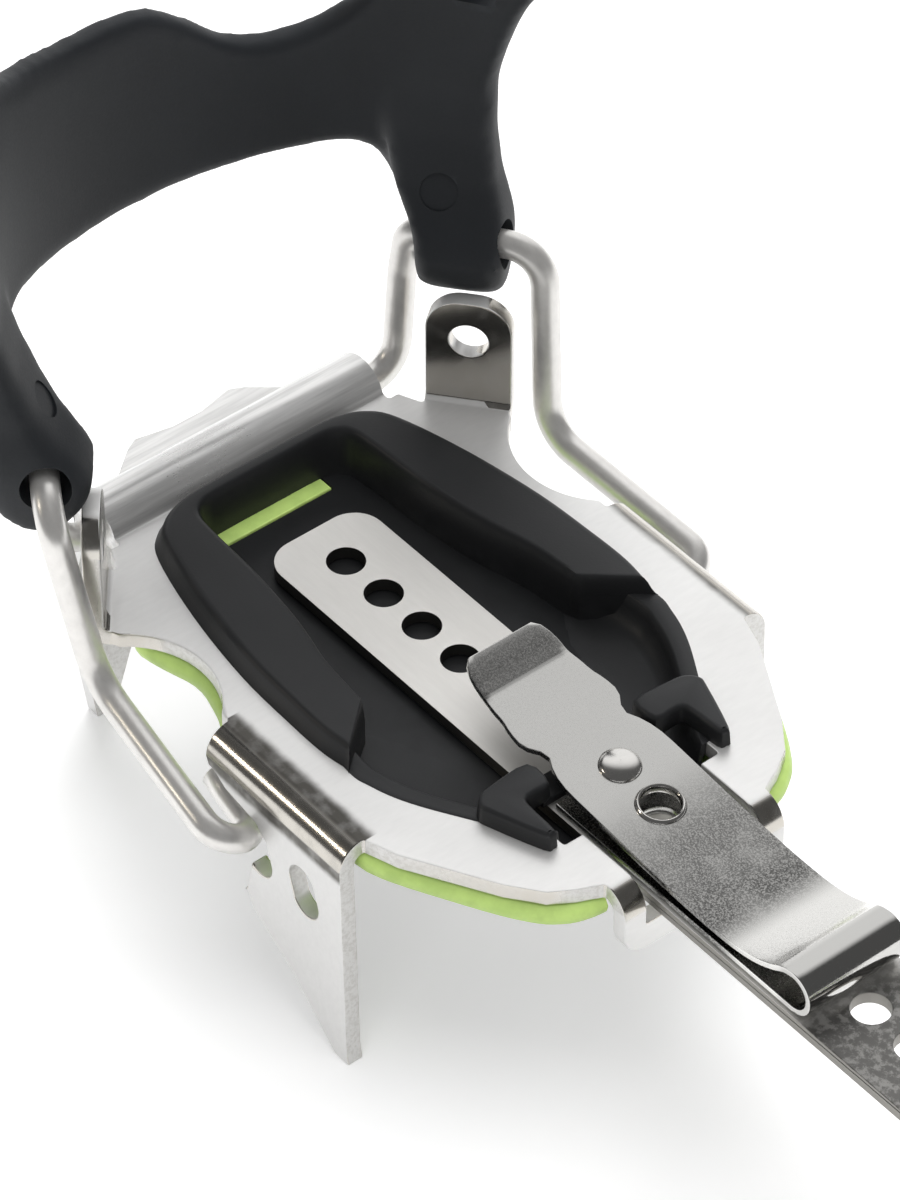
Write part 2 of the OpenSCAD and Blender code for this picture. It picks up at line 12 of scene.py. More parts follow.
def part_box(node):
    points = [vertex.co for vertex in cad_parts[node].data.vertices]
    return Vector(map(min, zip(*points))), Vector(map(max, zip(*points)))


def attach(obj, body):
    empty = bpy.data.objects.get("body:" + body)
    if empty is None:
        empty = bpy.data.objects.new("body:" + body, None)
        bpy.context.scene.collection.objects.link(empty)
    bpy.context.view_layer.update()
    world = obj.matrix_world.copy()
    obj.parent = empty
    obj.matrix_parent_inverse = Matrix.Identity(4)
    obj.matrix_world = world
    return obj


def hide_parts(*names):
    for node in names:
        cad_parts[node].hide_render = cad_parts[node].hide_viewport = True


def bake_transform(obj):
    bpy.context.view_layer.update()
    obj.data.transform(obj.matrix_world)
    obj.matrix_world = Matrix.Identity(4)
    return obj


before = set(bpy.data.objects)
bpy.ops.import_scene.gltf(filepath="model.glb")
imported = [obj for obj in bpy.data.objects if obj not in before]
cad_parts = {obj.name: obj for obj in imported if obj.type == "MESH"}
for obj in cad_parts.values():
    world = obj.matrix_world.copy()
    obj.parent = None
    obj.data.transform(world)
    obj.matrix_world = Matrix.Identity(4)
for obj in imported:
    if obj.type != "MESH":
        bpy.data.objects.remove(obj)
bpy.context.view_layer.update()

bl_info = {
    "name": "Strap Crampon",
    "version": (1, 0, 0),
    "blender": (4, 5, 0),
    "location": "3D View > Sidebar > Crampon",
    "description": "Builds the finished pieces of a strap crampon on its frame",
    "category": "Object",
}

MM = 0.001
WELD = 1e-6
PLATE_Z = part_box("toe_frame")[1].z
# The heel plate's zero lies this far ahead of the bar's rear end, and the hinge bolt ahead of that zero
HEEL_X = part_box("centre_bar")[0].x + 48.6 * MM
PIN_X = HEEL_X + 119.4 * MM


def heel_at(x, y, z):
    """Place in millimetres from the heel plate's top to the object's frame."""
    return Vector((HEEL_X + x * MM, y * MM, PLATE_Z + z * MM))


def toe_at(x, y, z):
    """The same with x measured from the hinge bolt."""
    return Vector((PIN_X + x * MM, y * MM, PLATE_Z + z * MM))


# Lines and shapes, a shape being a list of vertices and a list of faces


def cos_sin(degrees):
    """Cosine and sine of an angle in degrees."""
    return math.cos(math.radians(degrees)), math.sin(math.radians(degrees))


def circle(sides):
    """Cosine and sine of even turns round a circle."""
    turns = (2 * math.pi * k / sides for k in range(sides))
    return [(math.cos(t), math.sin(t)) for t in turns]


def smooth_line(points, steps, closed=False):
    """Points of a smooth curve through the given points."""
    pts = [Vector(p) for p in points]
    count = len(pts)
    out = []
    for i in range(count if closed else count - 1):
        near = [(i + k) % count if closed else min(max(i + k, 0), count - 1) for k in (-1, 0, 1, 2)]
        a, b, c, d = (pts[n] for n in near)
        for t in (k / steps for k in range(steps)):
            out.append(0.5 * (2 * b + (c - a) * t + (2 * a - 5 * b + 4 * c - d) * t * t
                              + (3 * b - a - 3 * c + d) * t ** 3))
    return out if closed else out + pts[-1:]


def bent_line(points, radii, steps):
    """Straight runs joined by arcs of the given radii, one for each inner point."""
    out = [points[0]]
    for i in range(1, len(points) - 1):
        u, v = points[i - 1] - points[i], points[i + 1] - points[i]
        half = u.angle(v) / 2
        reach = min(radii[i - 1] / math.tan(half), 0.49 * u.length, 0.49 * v.length)
        u.normalize()
        v.normalize()
        centre = points[i] + (u + v).normalized() * (reach / math.cos(half))
        start, end = points[i] + u * reach - centre, points[i] + v * reach - centre
        size = start.length
        out += [centre + start.slerp(end, k / steps) * size for k in range(steps + 1)]
    return out + points[-1:]


def table_value(table, x):
    """Value of a smooth step table at x."""
    if x <= table[0][0]:
        return table[0][1]
    for (x0, y0), (x1, y1) in zip(table, table[1:]):
        if x <= x1:
            t = (x - x0) / (x1 - x0)
            return y0 + (y1 - y0) * t * t * (3 - 2 * t)
    return table[-1][1]


def skin(rings, closed=True):
    """Shape over a row of rings, with its two ends closed or open."""
    count = len(rings[0])
    verts = [v for ring in rings for v in ring]
    faces = []
    for r in range(len(rings) - 1):
        for k in range(count):
            n = (k + 1) % count
            faces.append((r * count + k, r * count + n, (r + 1) * count + n, (r + 1) * count + k))
    if closed:
        last = (len(rings) - 1) * count
        faces += [tuple(range(count - 1, -1, -1)), tuple(range(last, last + count))]
    return verts, faces


def tube(path, radius, sides=24):
    """Round rod along a path, with softened ends."""
    last = len(path) - 1
    runs = [(path[min(i + 1, last)] - path[max(i - 1, 0)]).normalized() for i in range(last + 1)]
    side = runs[0].orthogonal().normalized()
    frames = []
    for run in runs:
        side = (side - run * side.dot(run)).normalized()
        frames.append((side, run.cross(side)))
    tip, shoulder, setback = 0.72, 0.93, radius * 0.14
    stations = [(path[0], tip, 0), (path[0] + runs[0] * setback, shoulder, 0)]
    stations += [(path[i], 1.0, i) for i in range(1, last)]
    stations += [(path[last] - runs[last] * setback, shoulder, last), (path[last], tip, last)]
    return skin([[centre + (frames[i][0] * c + frames[i][1] * s) * radius * share for c, s in circle(sides)]
                 for centre, share, i in stations])


def inset(line, distance):
    """Closed flat line moved to its inner side, the line running anticlockwise."""
    out = []
    for i, b in enumerate(line):
        u, v = b - line[i - 1], line[(i + 1) % len(line)] - b
        first, second = Vector((-u.y, u.x)).normalized(), Vector((-v.y, v.x)).normalized()
        inward = first + second
        inward = inward.normalized() if inward.length > 1e-6 else first
        out.append(b + inward * distance)
    return out


def mirrored(half):
    """Closed outline from its half with y above 0, anticlockwise from the lowest x."""
    pts = [Vector(p) for p in half]
    return [Vector((p.x, -p.y)) for p in pts if p.y > 1e-6] + pts[::-1]


def oblong(rear, front, half):
    """Outline of an oblong across the crampon's middle."""
    return [(rear, -half), (front, -half), (front, half), (rear, half)]


def slab(line, levels, place):
    """Solid over a flat outline; levels are (height, inset) from the bottom up."""
    line = [Vector((p[0], p[1])) for p in line]
    return skin([[place(p.x, p.y, height) for p in (inset(line, step) if step else line)]
                 for height, step in levels])


def rounded(bottom, top, edge, draft=0.0):
    """Levels of a slab with rounded edges and sides that draw in towards the top."""
    arc = [cos_sin(a) for a in (0, 30, 60, 90)]
    return ([(bottom + edge * (1 - c), edge * (1 - s)) for c, s in arc]
            + [(top - edge * (1 - s), draft + edge * (1 - c)) for c, s in arc])


def joined(*shapes):
    """One shape from several."""
    verts, faces = [], []
    for v, f in shapes:
        base = len(verts)
        verts += v
        faces += [tuple(base + i for i in face) for face in f]
    return verts, faces


def flipped(shape):
    """Mirror image of a shape across the crampon's length."""
    verts, faces = shape
    return [Vector((v.x, -v.y, v.z)) for v in verts], [tuple(reversed(f)) for f in faces]


def block(centre, half, turn=0.0):
    """Box cutter about a centre, from its half sizes in millimetres and its turn in degrees."""
    c, s = cos_sin(turn)
    along, across, up = (Vector(axis) * (size * MM)
                         for axis, size in zip(((c, s, 0), (-s, c, 0), (0, 0, 1)), half))
    verts = [centre + along * i + across * j + up * k
             for i in (-1, 1) for j in (-1, 1) for k in (-1, 1)]
    faces = [(0, 1, 3, 2), (4, 6, 7, 5), (0, 4, 5, 1), (2, 3, 7, 6), (0, 2, 6, 4), (1, 5, 7, 3)]
    return verts, faces


def rod(a, b, radius, sides=48):
    """Round cutter between two points, its radius in millimetres."""
    axis = (b - a).normalized()
    u = axis.orthogonal().normalized()
    v = axis.cross(u)
    return skin([[p + (u * c + v * s) * (radius * MM) for c, s in circle(sides)] for p in (a, b)])


# Objects


def new_object(name, mesh):
    """Object for a mesh, in the scene."""
    thing = bpy.data.objects.new(name, mesh)
    bpy.context.collection.objects.link(thing)
    return thing


def new_piece(name, shape, weld=False):
    """Object for a shape, with its faces turned outwards and its seam closed if asked."""
    mesh = bpy.data.meshes.new(name)
    mesh.from_pydata([tuple(v) for v in shape[0]], [], shape[1])
    work = bmesh.new()
    work.from_mesh(mesh)
    if weld:
        bmesh.ops.remove_doubles(work, verts=work.verts, dist=WELD)
    bmesh.ops.recalc_face_normals(work, faces=work.faces)
    work.to_mesh(mesh)
    work.free()
    return new_object(name, mesh)


def settle(thing):
    """Put the modifiers' result into the object's mesh."""
    bpy.context.view_layer.update()
    done = bpy.data.meshes.new_from_object(thing.evaluated_get(bpy.context.evaluated_depsgraph_get()))
    thing.modifiers.clear()
    old = thing.data
    thing.data = done
    bpy.data.meshes.remove(old)


def cut(thing, shape):
    """Take a shape out of an object."""
    cutter = new_piece("cutter", shape)
    step = thing.modifiers.new("Cut", "BOOLEAN")
    step.operation = "DIFFERENCE"
    step.solver = "EXACT"
    step.object = cutter
    settle(thing)
    mesh = cutter.data
    bpy.data.objects.remove(cutter)
    bpy.data.meshes.remove(mesh)


def smooth_faces(thing, sharp):
    """Shade an object smooth, apart from edges sharper than an angle in degrees."""
    thing.data.shade_smooth()
    thing.data.set_sharp_from_angle(angle=math.radians(sharp))


def ease(thing, width, angle=32):
    """Round off the edges of an object that are sharper than an angle in degrees."""
    step = thing.modifiers.new("Edges", "BEVEL")
    step.width = width
    step.segments = 2
    step.limit_method = "ANGLE"
    step.angle_limit = math.radians(angle)
    step.use_clamp_overlap = False
    step.miter_outer = "MITER_ARC"
    step.loop_slide = False
    settle(thing)
    smooth_faces(thing, 30)
    step = thing.modifiers.new("Flat faces", "WEIGHTED_NORMAL")
    step.keep_sharp = True
    settle(thing)


def blend_solids(thing, voxel, passes):
    """Grow overlapping solids into one soft moulded form."""
    step = thing.modifiers.new("Skin", "REMESH")
    step.mode = "VOXEL"
    step.voxel_size = voxel
    step.use_smooth_shade = True
    step = thing.modifiers.new("Soften", "SMOOTH")
    step.factor = 0.5
    step.iterations = passes
    settle(thing)


def finish_piece(thing, slot, body, nodes=(), sharp=None):
    """Give a piece its finish, its body and the nodes that it stands for."""
    thing.data.materials.clear()
    thing.data.materials.append(finish_of(slot))
    if sharp is not None:
        smooth_faces(thing, sharp)
    if body:
        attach(thing, body)
    if nodes:
        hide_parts(*nodes)


def eased_copy(node, slot, body, width, cutters):
    """Copy of a CAD node with small cuts and rounded edges, shown in its place."""
    name = node + "_finish"
    work = bmesh.new()
    work.from_mesh(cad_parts[node].data)
    bmesh.ops.remove_doubles(work, verts=work.verts, dist=WELD)
    bmesh.ops.dissolve_limit(work, angle_limit=math.radians(0.3), verts=work.verts, edges=work.edges)
    bmesh.ops.connect_verts_concave(work, faces=work.faces)
    mesh = bpy.data.meshes.new(name)
    work.to_mesh(mesh)
    work.free()
    thing = new_object(name, mesh)
    for shape in cutters:
        cut(thing, shape)
    ease(thing, width)
    finish_piece(thing, slot, body, (node,))


# Shader nodes


def feed(tree, node, values):
    """Link or set a node's inputs, by their labels or places."""
    for label, value in values.items():
        if isinstance(value, bpy.types.NodeSocket):
            tree.links.new(value, node.inputs[label])
        else:
            node.inputs[label].default_value = value


def add(tree, kind, values, **settings):
    """New shader node with its settings and inputs; returns its outputs."""
    node = tree.nodes.new(kind)
    for label, value in settings.items():
        setattr(node, label, value)
    feed(tree, node, values)
    return node.outputs


def maths(tree, operation, first, *others):
    """Math on sockets or numbers, in a chain where there are more than two."""
    for other in others:
        first = add(tree, "ShaderNodeMath", {0: first, 1: other}, operation=operation)[0]
    return first


def unsigned(tree, value):
    """Value without its sign."""
    return add(tree, "ShaderNodeMath", {0: value}, operation="ABSOLUTE")[0]


def coordinate(tree, kind="Object"):
    """Texture coordinate of a piece."""
    return tree.nodes.new("ShaderNodeTexCoord").outputs[kind]


def axes(tree, vector):
    """The x, y and z of a vector."""
    return tuple(add(tree, "ShaderNodeSeparateXYZ", {0: vector}))


def stretched(tree, vector, shares):
    """Vector with each of its parts scaled."""
    return add(tree, "ShaderNodeVectorMath", {0: vector, 1: shares}, operation="MULTIPLY")[0]


def noise(tree, vector, scale, detail, rough=0.55):
    """Noise texture value on a vector."""
    values = {"Vector": vector, "Scale": scale, "Detail": detail, "Roughness": rough}
    return add(tree, "ShaderNodeTexNoise", values)["Fac"]


def remap(tree, value, low, high, to_low=0.0, to_high=1.0):
    """Map a value's range smoothly to another."""
    values = {"Value": value, "From Min": low, "From Max": high, "To Min": to_low, "To Max": to_high}
    return add(tree, "ShaderNodeMapRange", values, interpolation_type="SMOOTHSTEP")["Result"]


def below(tree, value, low, high):
    """Mask that is 1 up to low and fades out by high."""
    return remap(tree, value, low, high, 1.0, 0.0)


def between(tree, value, low, high, fade):
    """Mask that is 1 from low to high and fades out on both sides."""
    return maths(tree, "MULTIPLY", remap(tree, value, low - fade, low), below(tree, value, high, high + fade))


def blended(tree, mask, low, high):
    """Colour between two sockets or constants by a mask."""
    low, high = ((*end, 1.0) if isinstance(end, tuple) else end for end in (low, high))
    # Inputs 6 and 7 and output 2 are the mix node's colours
    return add(tree, "ShaderNodeMix", {"Factor": mask, 6: low, 7: high}, data_type="RGBA")[2]


def bumped(tree, height, strength, distance):
    """Normal with fine relief."""
    values = {"Height": height, "Strength": strength, "Distance": distance}
    return add(tree, "ShaderNodeBump", values)["Normal"]


def shade(colour, share):
    """A tone lighter or darker."""
    return tuple(min(1.0, c * share) for c in colour)


# Shared effects, each from its group's inputs to its named outputs


def rolling_marks(group, given):
    """Rolling marks along one direction, with faint smudges."""
    place = coordinate(group)
    return {"Marks": noise(group, stretched(group, place, given["Stretch"]), given["Fineness"], 4.0, 0.6),
            "Smudges": remap(group, noise(group, place, 55.0, 3.0), 0.35, 0.7)}


def speckle(group, given):
    """Small pits and bright scratches left by tumbling."""
    place = coordinate(group)
    cells = add(group, "ShaderNodeTexVoronoi", {"Vector": place, "Scale": 2600.0})
    return {"Speckle": remap(group, noise(group, place, given["Fineness"], 5.0, 0.7), 0.42, 0.62),
            "Pits": below(group, cells["Distance"], 0.05, 0.3)}


def worn_edges(group, given):
    """Mask of worn outer edges."""
    geometry = group.nodes.new("ShaderNodeNewGeometry").outputs
    edge = remap(group, geometry["Pointiness"], given["Low"], given["High"])
    patchy = remap(group, noise(group, coordinate(group), 300.0, 3.0), 0.3, 0.65)
    return {"Wear": maths(group, "MULTIPLY", edge, patchy)}


def stamped_sheet(group, given):
    """Masks of the stamped sheet: polish, a painted dark reflection band, sheared edges, rear roll and its
    streaks.
    """
    place = coordinate(group)
    along, across, height = axes(group, place)
    facing = axes(group, coordinate(group, "Normal"))
    up = facing[2]
    x, y, z = (unsigned(group, part) for part in facing)

    # Polished outside of the bends, further out on the toe frame, and polished ears
    toe = maths(group, "GREATER_THAN", along, HEEL_X + 100 * MM)
    reach = maths(group, "SUBTRACT", unsigned(group, across), maths(group, "MULTIPLY", toe, 8 * MM))
    tilt = maths(group, "MULTIPLY", remap(group, up, 0.02, 0.14), below(group, up, 0.93, 0.992))
    outer = maths(group, "MULTIPLY", maths(group, "GREATER_THAN", reach, 32.2 * MM),
                  remap(group, y, 0.10, 0.28))
    flange = between(group, along, HEEL_X + 28.3 * MM, HEEL_X + 36 * MM, 0.2 * MM)
    curl = maths(group, "MULTIPLY", flange, remap(group, x, 0.10, 0.28))
    bend = maths(group, "MULTIPLY", tilt, maths(group, "MAXIMUM", outer, curl))
    ear = maths(group, "MULTIPLY", remap(group, x, 0.40, 0.55), below(group, x, 0.72, 0.88),
                below(group, z, 0.30, 0.60))
    patchy = remap(group, noise(group, place, 420.0, 3.0), 0.3, 0.6, 0.8, 1.0)

    # Painted dark reflection: a dark band along the side bends of the heel, wider over the plate on the -y
    # side
    wander = maths(group, "MULTIPLY", noise(group, place, 230.0, 4.0), 1.0 * MM)
    wider = remap(group, across, -5 * MM, 5 * MM, 0.9 * MM, -0.9 * MM)
    near = remap(group, maths(group, "ADD", reach, wander, wider), 31.2 * MM, 32.9 * MM)
    high = remap(group, maths(group, "ADD", height, wander), PLATE_Z - 5.8 * MM, PLATE_Z - 4.4 * MM)
    side = between(group, along, HEEL_X - 25.2 * MM, HEEL_X + 2.9 * MM, 0.2 * MM)
    outside = maths(group, "MULTIPLY", below(group, x, 0.3, 0.6), remap(group, up, -0.3, -0.1))

    # Grit on the sheared edges, and the roll at the rear
    rim = maths(group, "MAXIMUM", maths(group, "SUBTRACT", remap(group, x, 0.6, 0.8), flange),
                remap(group, height, PLATE_Z - 3.2 * MM, PLATE_Z - 2.8 * MM))
    grit = remap(group, noise(group, place, 1500.0, 4.0, 0.7), 0.4, 0.65, 0.35, 1.0)
    roll = between(group, along, HEEL_X - 78 * MM, HEEL_X - 61.5 * MM, 0.6 * MM)
    over = remap(group, height, PLATE_Z - 2.0 * MM, PLATE_Z - 1.0 * MM)
    streaks = noise(group, stretched(group, place, (1.0, 0.05, 1.0)), 620.0, 4.0, 0.65)
    return {"Bend": maths(group, "MULTIPLY", maths(group, "MAXIMUM", bend, ear), patchy, given["Polish"]),
            "Band": maths(group, "MULTIPLY", near, high, side, outside, patchy),
            "Edge": maths(group, "MULTIPLY", below(group, z, 0.2, 0.5), rim, grit),
            "Roll": maths(group, "MULTIPLY", roll, over),
            "Streaks": remap(group, streaks, 0.3, 0.7)}


def moulded_grain(group, given):
    """Fine moulded grain with slow tone changes."""
    place = coordinate(group)
    return {"Grain": noise(group, place, given["Fineness"], 2.0, 0.5),
            "Tone": remap(group, noise(group, place, 40.0, 3.0), 0.3, 0.7)}


# Name and inputs of each effect's group, and the groups made so far
EFFECTS = {
    rolling_marks: ("Rolled steel marks", {"Stretch": (1.0, 1.0, 1.0), "Fineness": 900.0}),
    speckle: ("Tumbled speckle", {"Fineness": 4200.0}),
    worn_edges: ("Worn edges", {"Low": 0.52, "High": 0.6}),
    stamped_sheet: ("Stamped sheet", {"Polish": 1.0}),
    moulded_grain: ("Moulded grain", {"Fineness": 2500.0}),
}
GROUPS = {}


def new_group(name, inputs, build):
    """Shader node group with named inputs, and with the outputs that build makes of them."""
    group = bpy.data.node_groups.new(name, "ShaderNodeTree")
    for label, value in inputs.items():
        kind = "NodeSocketVector" if isinstance(value, tuple) else "NodeSocketFloat"
        group.interface.new_socket(label, in_out="INPUT", socket_type=kind).default_value = value
    made = build(group, group.nodes.new("NodeGroupInput").outputs)
    for label in made:
        group.interface.new_socket(label, in_out="OUTPUT", socket_type="NodeSocketFloat")
    feed(group, group.nodes.new("NodeGroupOutput"), made)
    return group


def effect(tree, build, **values):
    """Place a shared effect in a material with its own values; returns its outputs."""
    if build not in GROUPS:
        GROUPS[build] = new_group(*EFFECTS[build], build)
    return add(tree, "ShaderNodeGroup", values, node_tree=GROUPS[build])


# Finishes


def new_material(name):
    """Material with its tree and its Principled shader."""
    material = bpy.data.materials.new(name)
    material.use_nodes = True
    return material, material.node_tree, material.node_tree.nodes["Principled BSDF"]


def length_mask(tree, marks):
    """Value that follows marks of (x in millimetres on the heel, value) along the crampon."""
    along = axes(tree, coordinate(tree))[0]
    steps = [remap(tree, along, HEEL_X + x0 * MM, HEEL_X + x1 * MM, 0.0, v1 - v0)
             for (x0, v0), (x1, v1) in zip(marks, marks[1:])]
    return maths(tree, "ADD", *steps, marks[0][1])


def rolled_steel(name, colour, stretch, fineness, rough, metal=0.55, contrast=0.06,
                 polish=None, scuffs_and_dark_reflection=None, painted_wall_shade=None):
    """Satin sheet or wire with rolling marks; polished at bends with a painted dark reflection band, scuffed
    and darkened by painted reflection along it, or with painted shade on its walls.
    """
    material, tree, shader = new_material(name)
    steel = effect(tree, rolling_marks, Stretch=stretch, Fineness=fineness)
    marks = steel["Marks"]
    base = blended(tree, marks, shade(colour, 1 - contrast), shade(colour, 1 + contrast))
    gloss = maths(tree, "ADD", maths(tree, "MULTIPLY", steel["Smudges"], 0.10),
                  maths(tree, "MULTIPLY", marks, 0.08), rough - 0.09)
    mask = None
    if polish:
        sheet = effect(tree, stamped_sheet)
        mask, band, roll = sheet["Bend"], sheet["Band"], sheet["Roll"]
        rolled = blended(tree, sheet["Streaks"], shade(colour, 0.72), shade(colour, 1.08))
        base = blended(tree, maths(tree, "MULTIPLY", sheet["Edge"], 0.5), base, shade(polish, 0.8))
        base = blended(tree, roll, base, rolled)
        # Painted dark reflection: the band darkens the heel's side bends
        base = blended(tree, band, base, shade(polish, 0.24))
        base = blended(tree, mask, base, polish)
        bright = maths(tree, "MAXIMUM", mask, maths(tree, "MULTIPLY", roll, 0.5))
        gloss = remap(tree, bright, 0.0, 1.0, gloss, 0.19)
        mask = maths(tree, "MAXIMUM", mask, band, maths(tree, "MULTIPLY", roll, 0.3))
    # Scratchy speckle with painted dark reflection: the bar's exposed front darkens from x 56 mm on
    if scuffs_and_dark_reflection:
        spots = effect(tree, speckle, Fineness=900.0)
        mask = maths(tree, "MULTIPLY", length_mask(tree, scuffs_and_dark_reflection),
                     remap(tree, spots["Speckle"], 0.0, 1.0, 1.0, 0.72))
        base = blended(tree, mask, base, shade(colour, 0.27))
    # Painted shade: upright faces, such as the bar's sides and hole walls, are darkened
    if painted_wall_shade:
        wall = below(tree, unsigned(tree, axes(tree, coordinate(tree, "Normal"))[2]), 0.2, 0.6)
        base = blended(tree, wall, base, painted_wall_shade)
        mask = wall if mask is None else maths(tree, "MAXIMUM", mask, wall)
    if mask is not None:
        metal = remap(tree, mask, 0.0, 1.0, metal, 1.0)
    feed(tree, shader, {"Base Color": base, "Roughness": gloss, "Metallic": metal,
                        "Normal": bumped(tree, marks, 0.25, 0.000004)})
    return material


def tumbled_steel(name, colour, rough):
    """Spring steel with the mottled face of tumbled stampings; dark scuffs with painted dark reflection at
    the tab's tip and along the lever, and painted light near the loop and at the tab's end.
    """
    material, tree, shader = new_material(name)
    spots = effect(tree, speckle)
    marks = effect(tree, rolling_marks, Fineness=160.0)["Marks"]
    # Dark scuffs with painted dark reflection: darkest along the middle of the lever, some at the tab's tip
    tone_shift = length_mask(tree, [(-8.6, 0.05), (-6, 0.4), (-3.6, 0.12), (17, 0.12), (31, 0.9), (42, 1.0),
                              (48, 0.0), (57, 0.0)])
    dark = maths(tree, "MULTIPLY", tone_shift, remap(tree, marks, 0.2, 0.55, 0.7, 1.0),
                 remap(tree, spots["Speckle"], 0.0, 1.0, 1.0, 0.42))
    # Painted light: a lighter tone near the loop and at the tab's end
    bright = length_mask(tree, [(-4.2, 0.8), (-3.4, 0.0), (43, 0.0), (49, 1.0), (54, 1.0), (56, 0.0)])
    base_and_painted_light = blended(tree, bright, shade(colour, 1.12), shade(colour, 1.6))
    polished = length_mask(tree, [(53.5, 0.0), (56.5, 0.14)])
    gloss = maths(tree, "ADD", maths(tree, "MULTIPLY", spots["Speckle"], 0.14), rough - 0.07)
    feed(tree, shader, {"Base Color": blended(tree, dark, base_and_painted_light, shade(colour, 0.2)), "Metallic": 1.0,
                        "Roughness": maths(tree, "SUBTRACT", gloss, polished),
                        "Normal": bumped(tree, spots["Pits"], 0.2, 0.00001)})
    return material


def moulded(name, colour, rough, fineness, relief, bounce=None):
    """Moulded plastic or rubber with fine grain and rubbed edges; bounce tones the light it throws."""
    material, tree, shader = new_material(name)
    grain = effect(tree, moulded_grain, Fineness=fineness)
    base = blended(tree, grain["Tone"], shade(colour, 0.88), shade(colour, 1.12))
    if bounce:
        path = tree.nodes.new("ShaderNodeLightPath").outputs
        base = blended(tree, path["Is Diffuse Ray"], base, bounce)
    gloss = maths(tree, "ADD", maths(tree, "MULTIPLY", grain["Grain"], 0.12), rough - 0.06)
    tone_shift = blended(tree, effect(tree, worn_edges)["Wear"], base, shade(colour, 1.5))
    feed(tree, shader, {"Base Color": tone_shift, "Roughness": gloss, "Specular IOR Level": 0.4,
                        "Normal": bumped(tree, grain["Grain"], 0.35, relief)})
    return material


MATERIALS = {}


def finish_of(slot):
    """Material for one of the record's slots, made once."""
    if slot not in MATERIALS:
        c = bpy.context.scene.crampon_colours
        made = {
            # Frame steel: polished bends, with a painted dark reflection band along the heel's side bends
            "frame_steel": lambda: rolled_steel("Satin frame steel", c.frame_steel, (1.0, 0.25, 0.6), 1400.0,
                                                0.40, polish=(0.56, 0.535, 0.49)),
            # Bar steel: painted dark reflection on its front run and painted shade on its walls
            "bar_steel": lambda: rolled_steel("Satin bar steel", c.bar_steel, (0.15, 1.0, 1.0), 1500.0, 0.46,
                                              0.42, scuffs_and_dark_reflection=[(56, 0.0), (63, 1.0)], painted_wall_shade=(0.30, 0.29, 0.27)),
            "wire_steel": lambda: rolled_steel("Drawn wire", c.wire_steel, (0.5, 0.9, 0.5), 900.0, 0.36,
                                               0.72, 0.16),
            "fastener_steel": lambda: rolled_steel("Turned steel", c.wire_steel, (1.0, 0.3, 1.0), 1600.0,
                                                   0.17, 1.0),
            "spring_steel": lambda: tumbled_steel("Tumbled spring steel", c.spring_steel, 0.24),
            "black_plastic": lambda: moulded("Hard black plastic", c.black_plastic, 0.44, 3200.0, 0.00003),
            "green_plastic": lambda: moulded("Soft green plastic", c.green_plastic, 0.42, 1800.0, 0.00002,
                                             (0.4, 0.4, 0.4)),
            "elastomer": lambda: moulded("Black elastomer", c.elastomer, 0.60, 2600.0, 0.00004),
        }
        MATERIALS[slot] = made[slot]()
    return MATERIALS[slot]


# Settings

LENGTH = {"unit": "LENGTH", "precision": 5}
COLOUR = {"subtype": "COLOR", "size": 3, "min": 0.0, "max": 1.0}


class CramponSizes(bpy.types.PropertyGroup):
    """Sizes of the finish work"""

    sheet_edge: FloatProperty(name="Sheet edge", description="Rounding of the sheet steel's edges",
                              default=0.28 * MM, min=0.05 * MM, **LENGTH)
    small_edge: FloatProperty(name="Small edge", description="Rounding of edges on small steel pieces",
                              default=0.16 * MM, min=0.02 * MM, **LENGTH)
    wire_radius: FloatProperty(name="Wire radius", description="Radius of the bail wire",
                               default=2.0 * MM, min=1.0 * MM, **LENGTH)
    strip: FloatProperty(name="Strip", description="Thickness of the sprung strip",
                         default=0.9 * MM, min=0.3 * MM, **LENGTH)
    rubber_voxel: FloatProperty(name="Rubber detail", description="Detail size of the moulded cradles",
                                default=0.8 * MM, min=0.3 * MM, **LENGTH)


class CramponColours(bpy.types.PropertyGroup):
    """Colours of the finishes"""

    frame_steel: FloatVectorProperty(name="Frame steel", description="Stamped frames",
                                     default=(0.80, 0.795, 0.785), **COLOUR)
    bar_steel: FloatVectorProperty(name="Bar steel", description="Centre bar",
                                   default=(0.80, 0.785, 0.755), **COLOUR)
    spring_steel: FloatVectorProperty(name="Spring steel", description="Sprung clip",
                                      default=(0.52, 0.515, 0.50), **COLOUR)
    wire_steel: FloatVectorProperty(name="Wire steel", description="Bails and fasteners",
                                    default=(0.78, 0.765, 0.74), **COLOUR)
    black_plastic: FloatVectorProperty(name="Black plastic", description="Anti-ball inserts",
                                       default=(0.016, 0.0165, 0.0175), **COLOUR)
    green_plastic: FloatVectorProperty(name="Green plastic", description="Anti-ball shells",
                                       default=(0.50, 0.70, 0.20), **COLOUR)
    elastomer: FloatVectorProperty(name="Elastomer", description="Cradles",
                                   default=(0.0165, 0.0185, 0.0215), **COLOUR)


class CramponStage(bpy.types.PropertyGroup):
    """Studio around the crampon"""

    camera_distance: FloatProperty(name="Camera distance", description="From the heel insert to the camera",
                                   default=0.8, min=0.2, unit="LENGTH")
    camera_lens: FloatProperty(name="Lens", description="Focal length on a 24 mm tall sensor",
                               default=121.22, min=20.0)
    floor_tone: FloatProperty(name="Floor tone", description="Brightness of the floor", default=0.86,
                              min=0.0, max=1.0, subtype="FACTOR")


# Operators


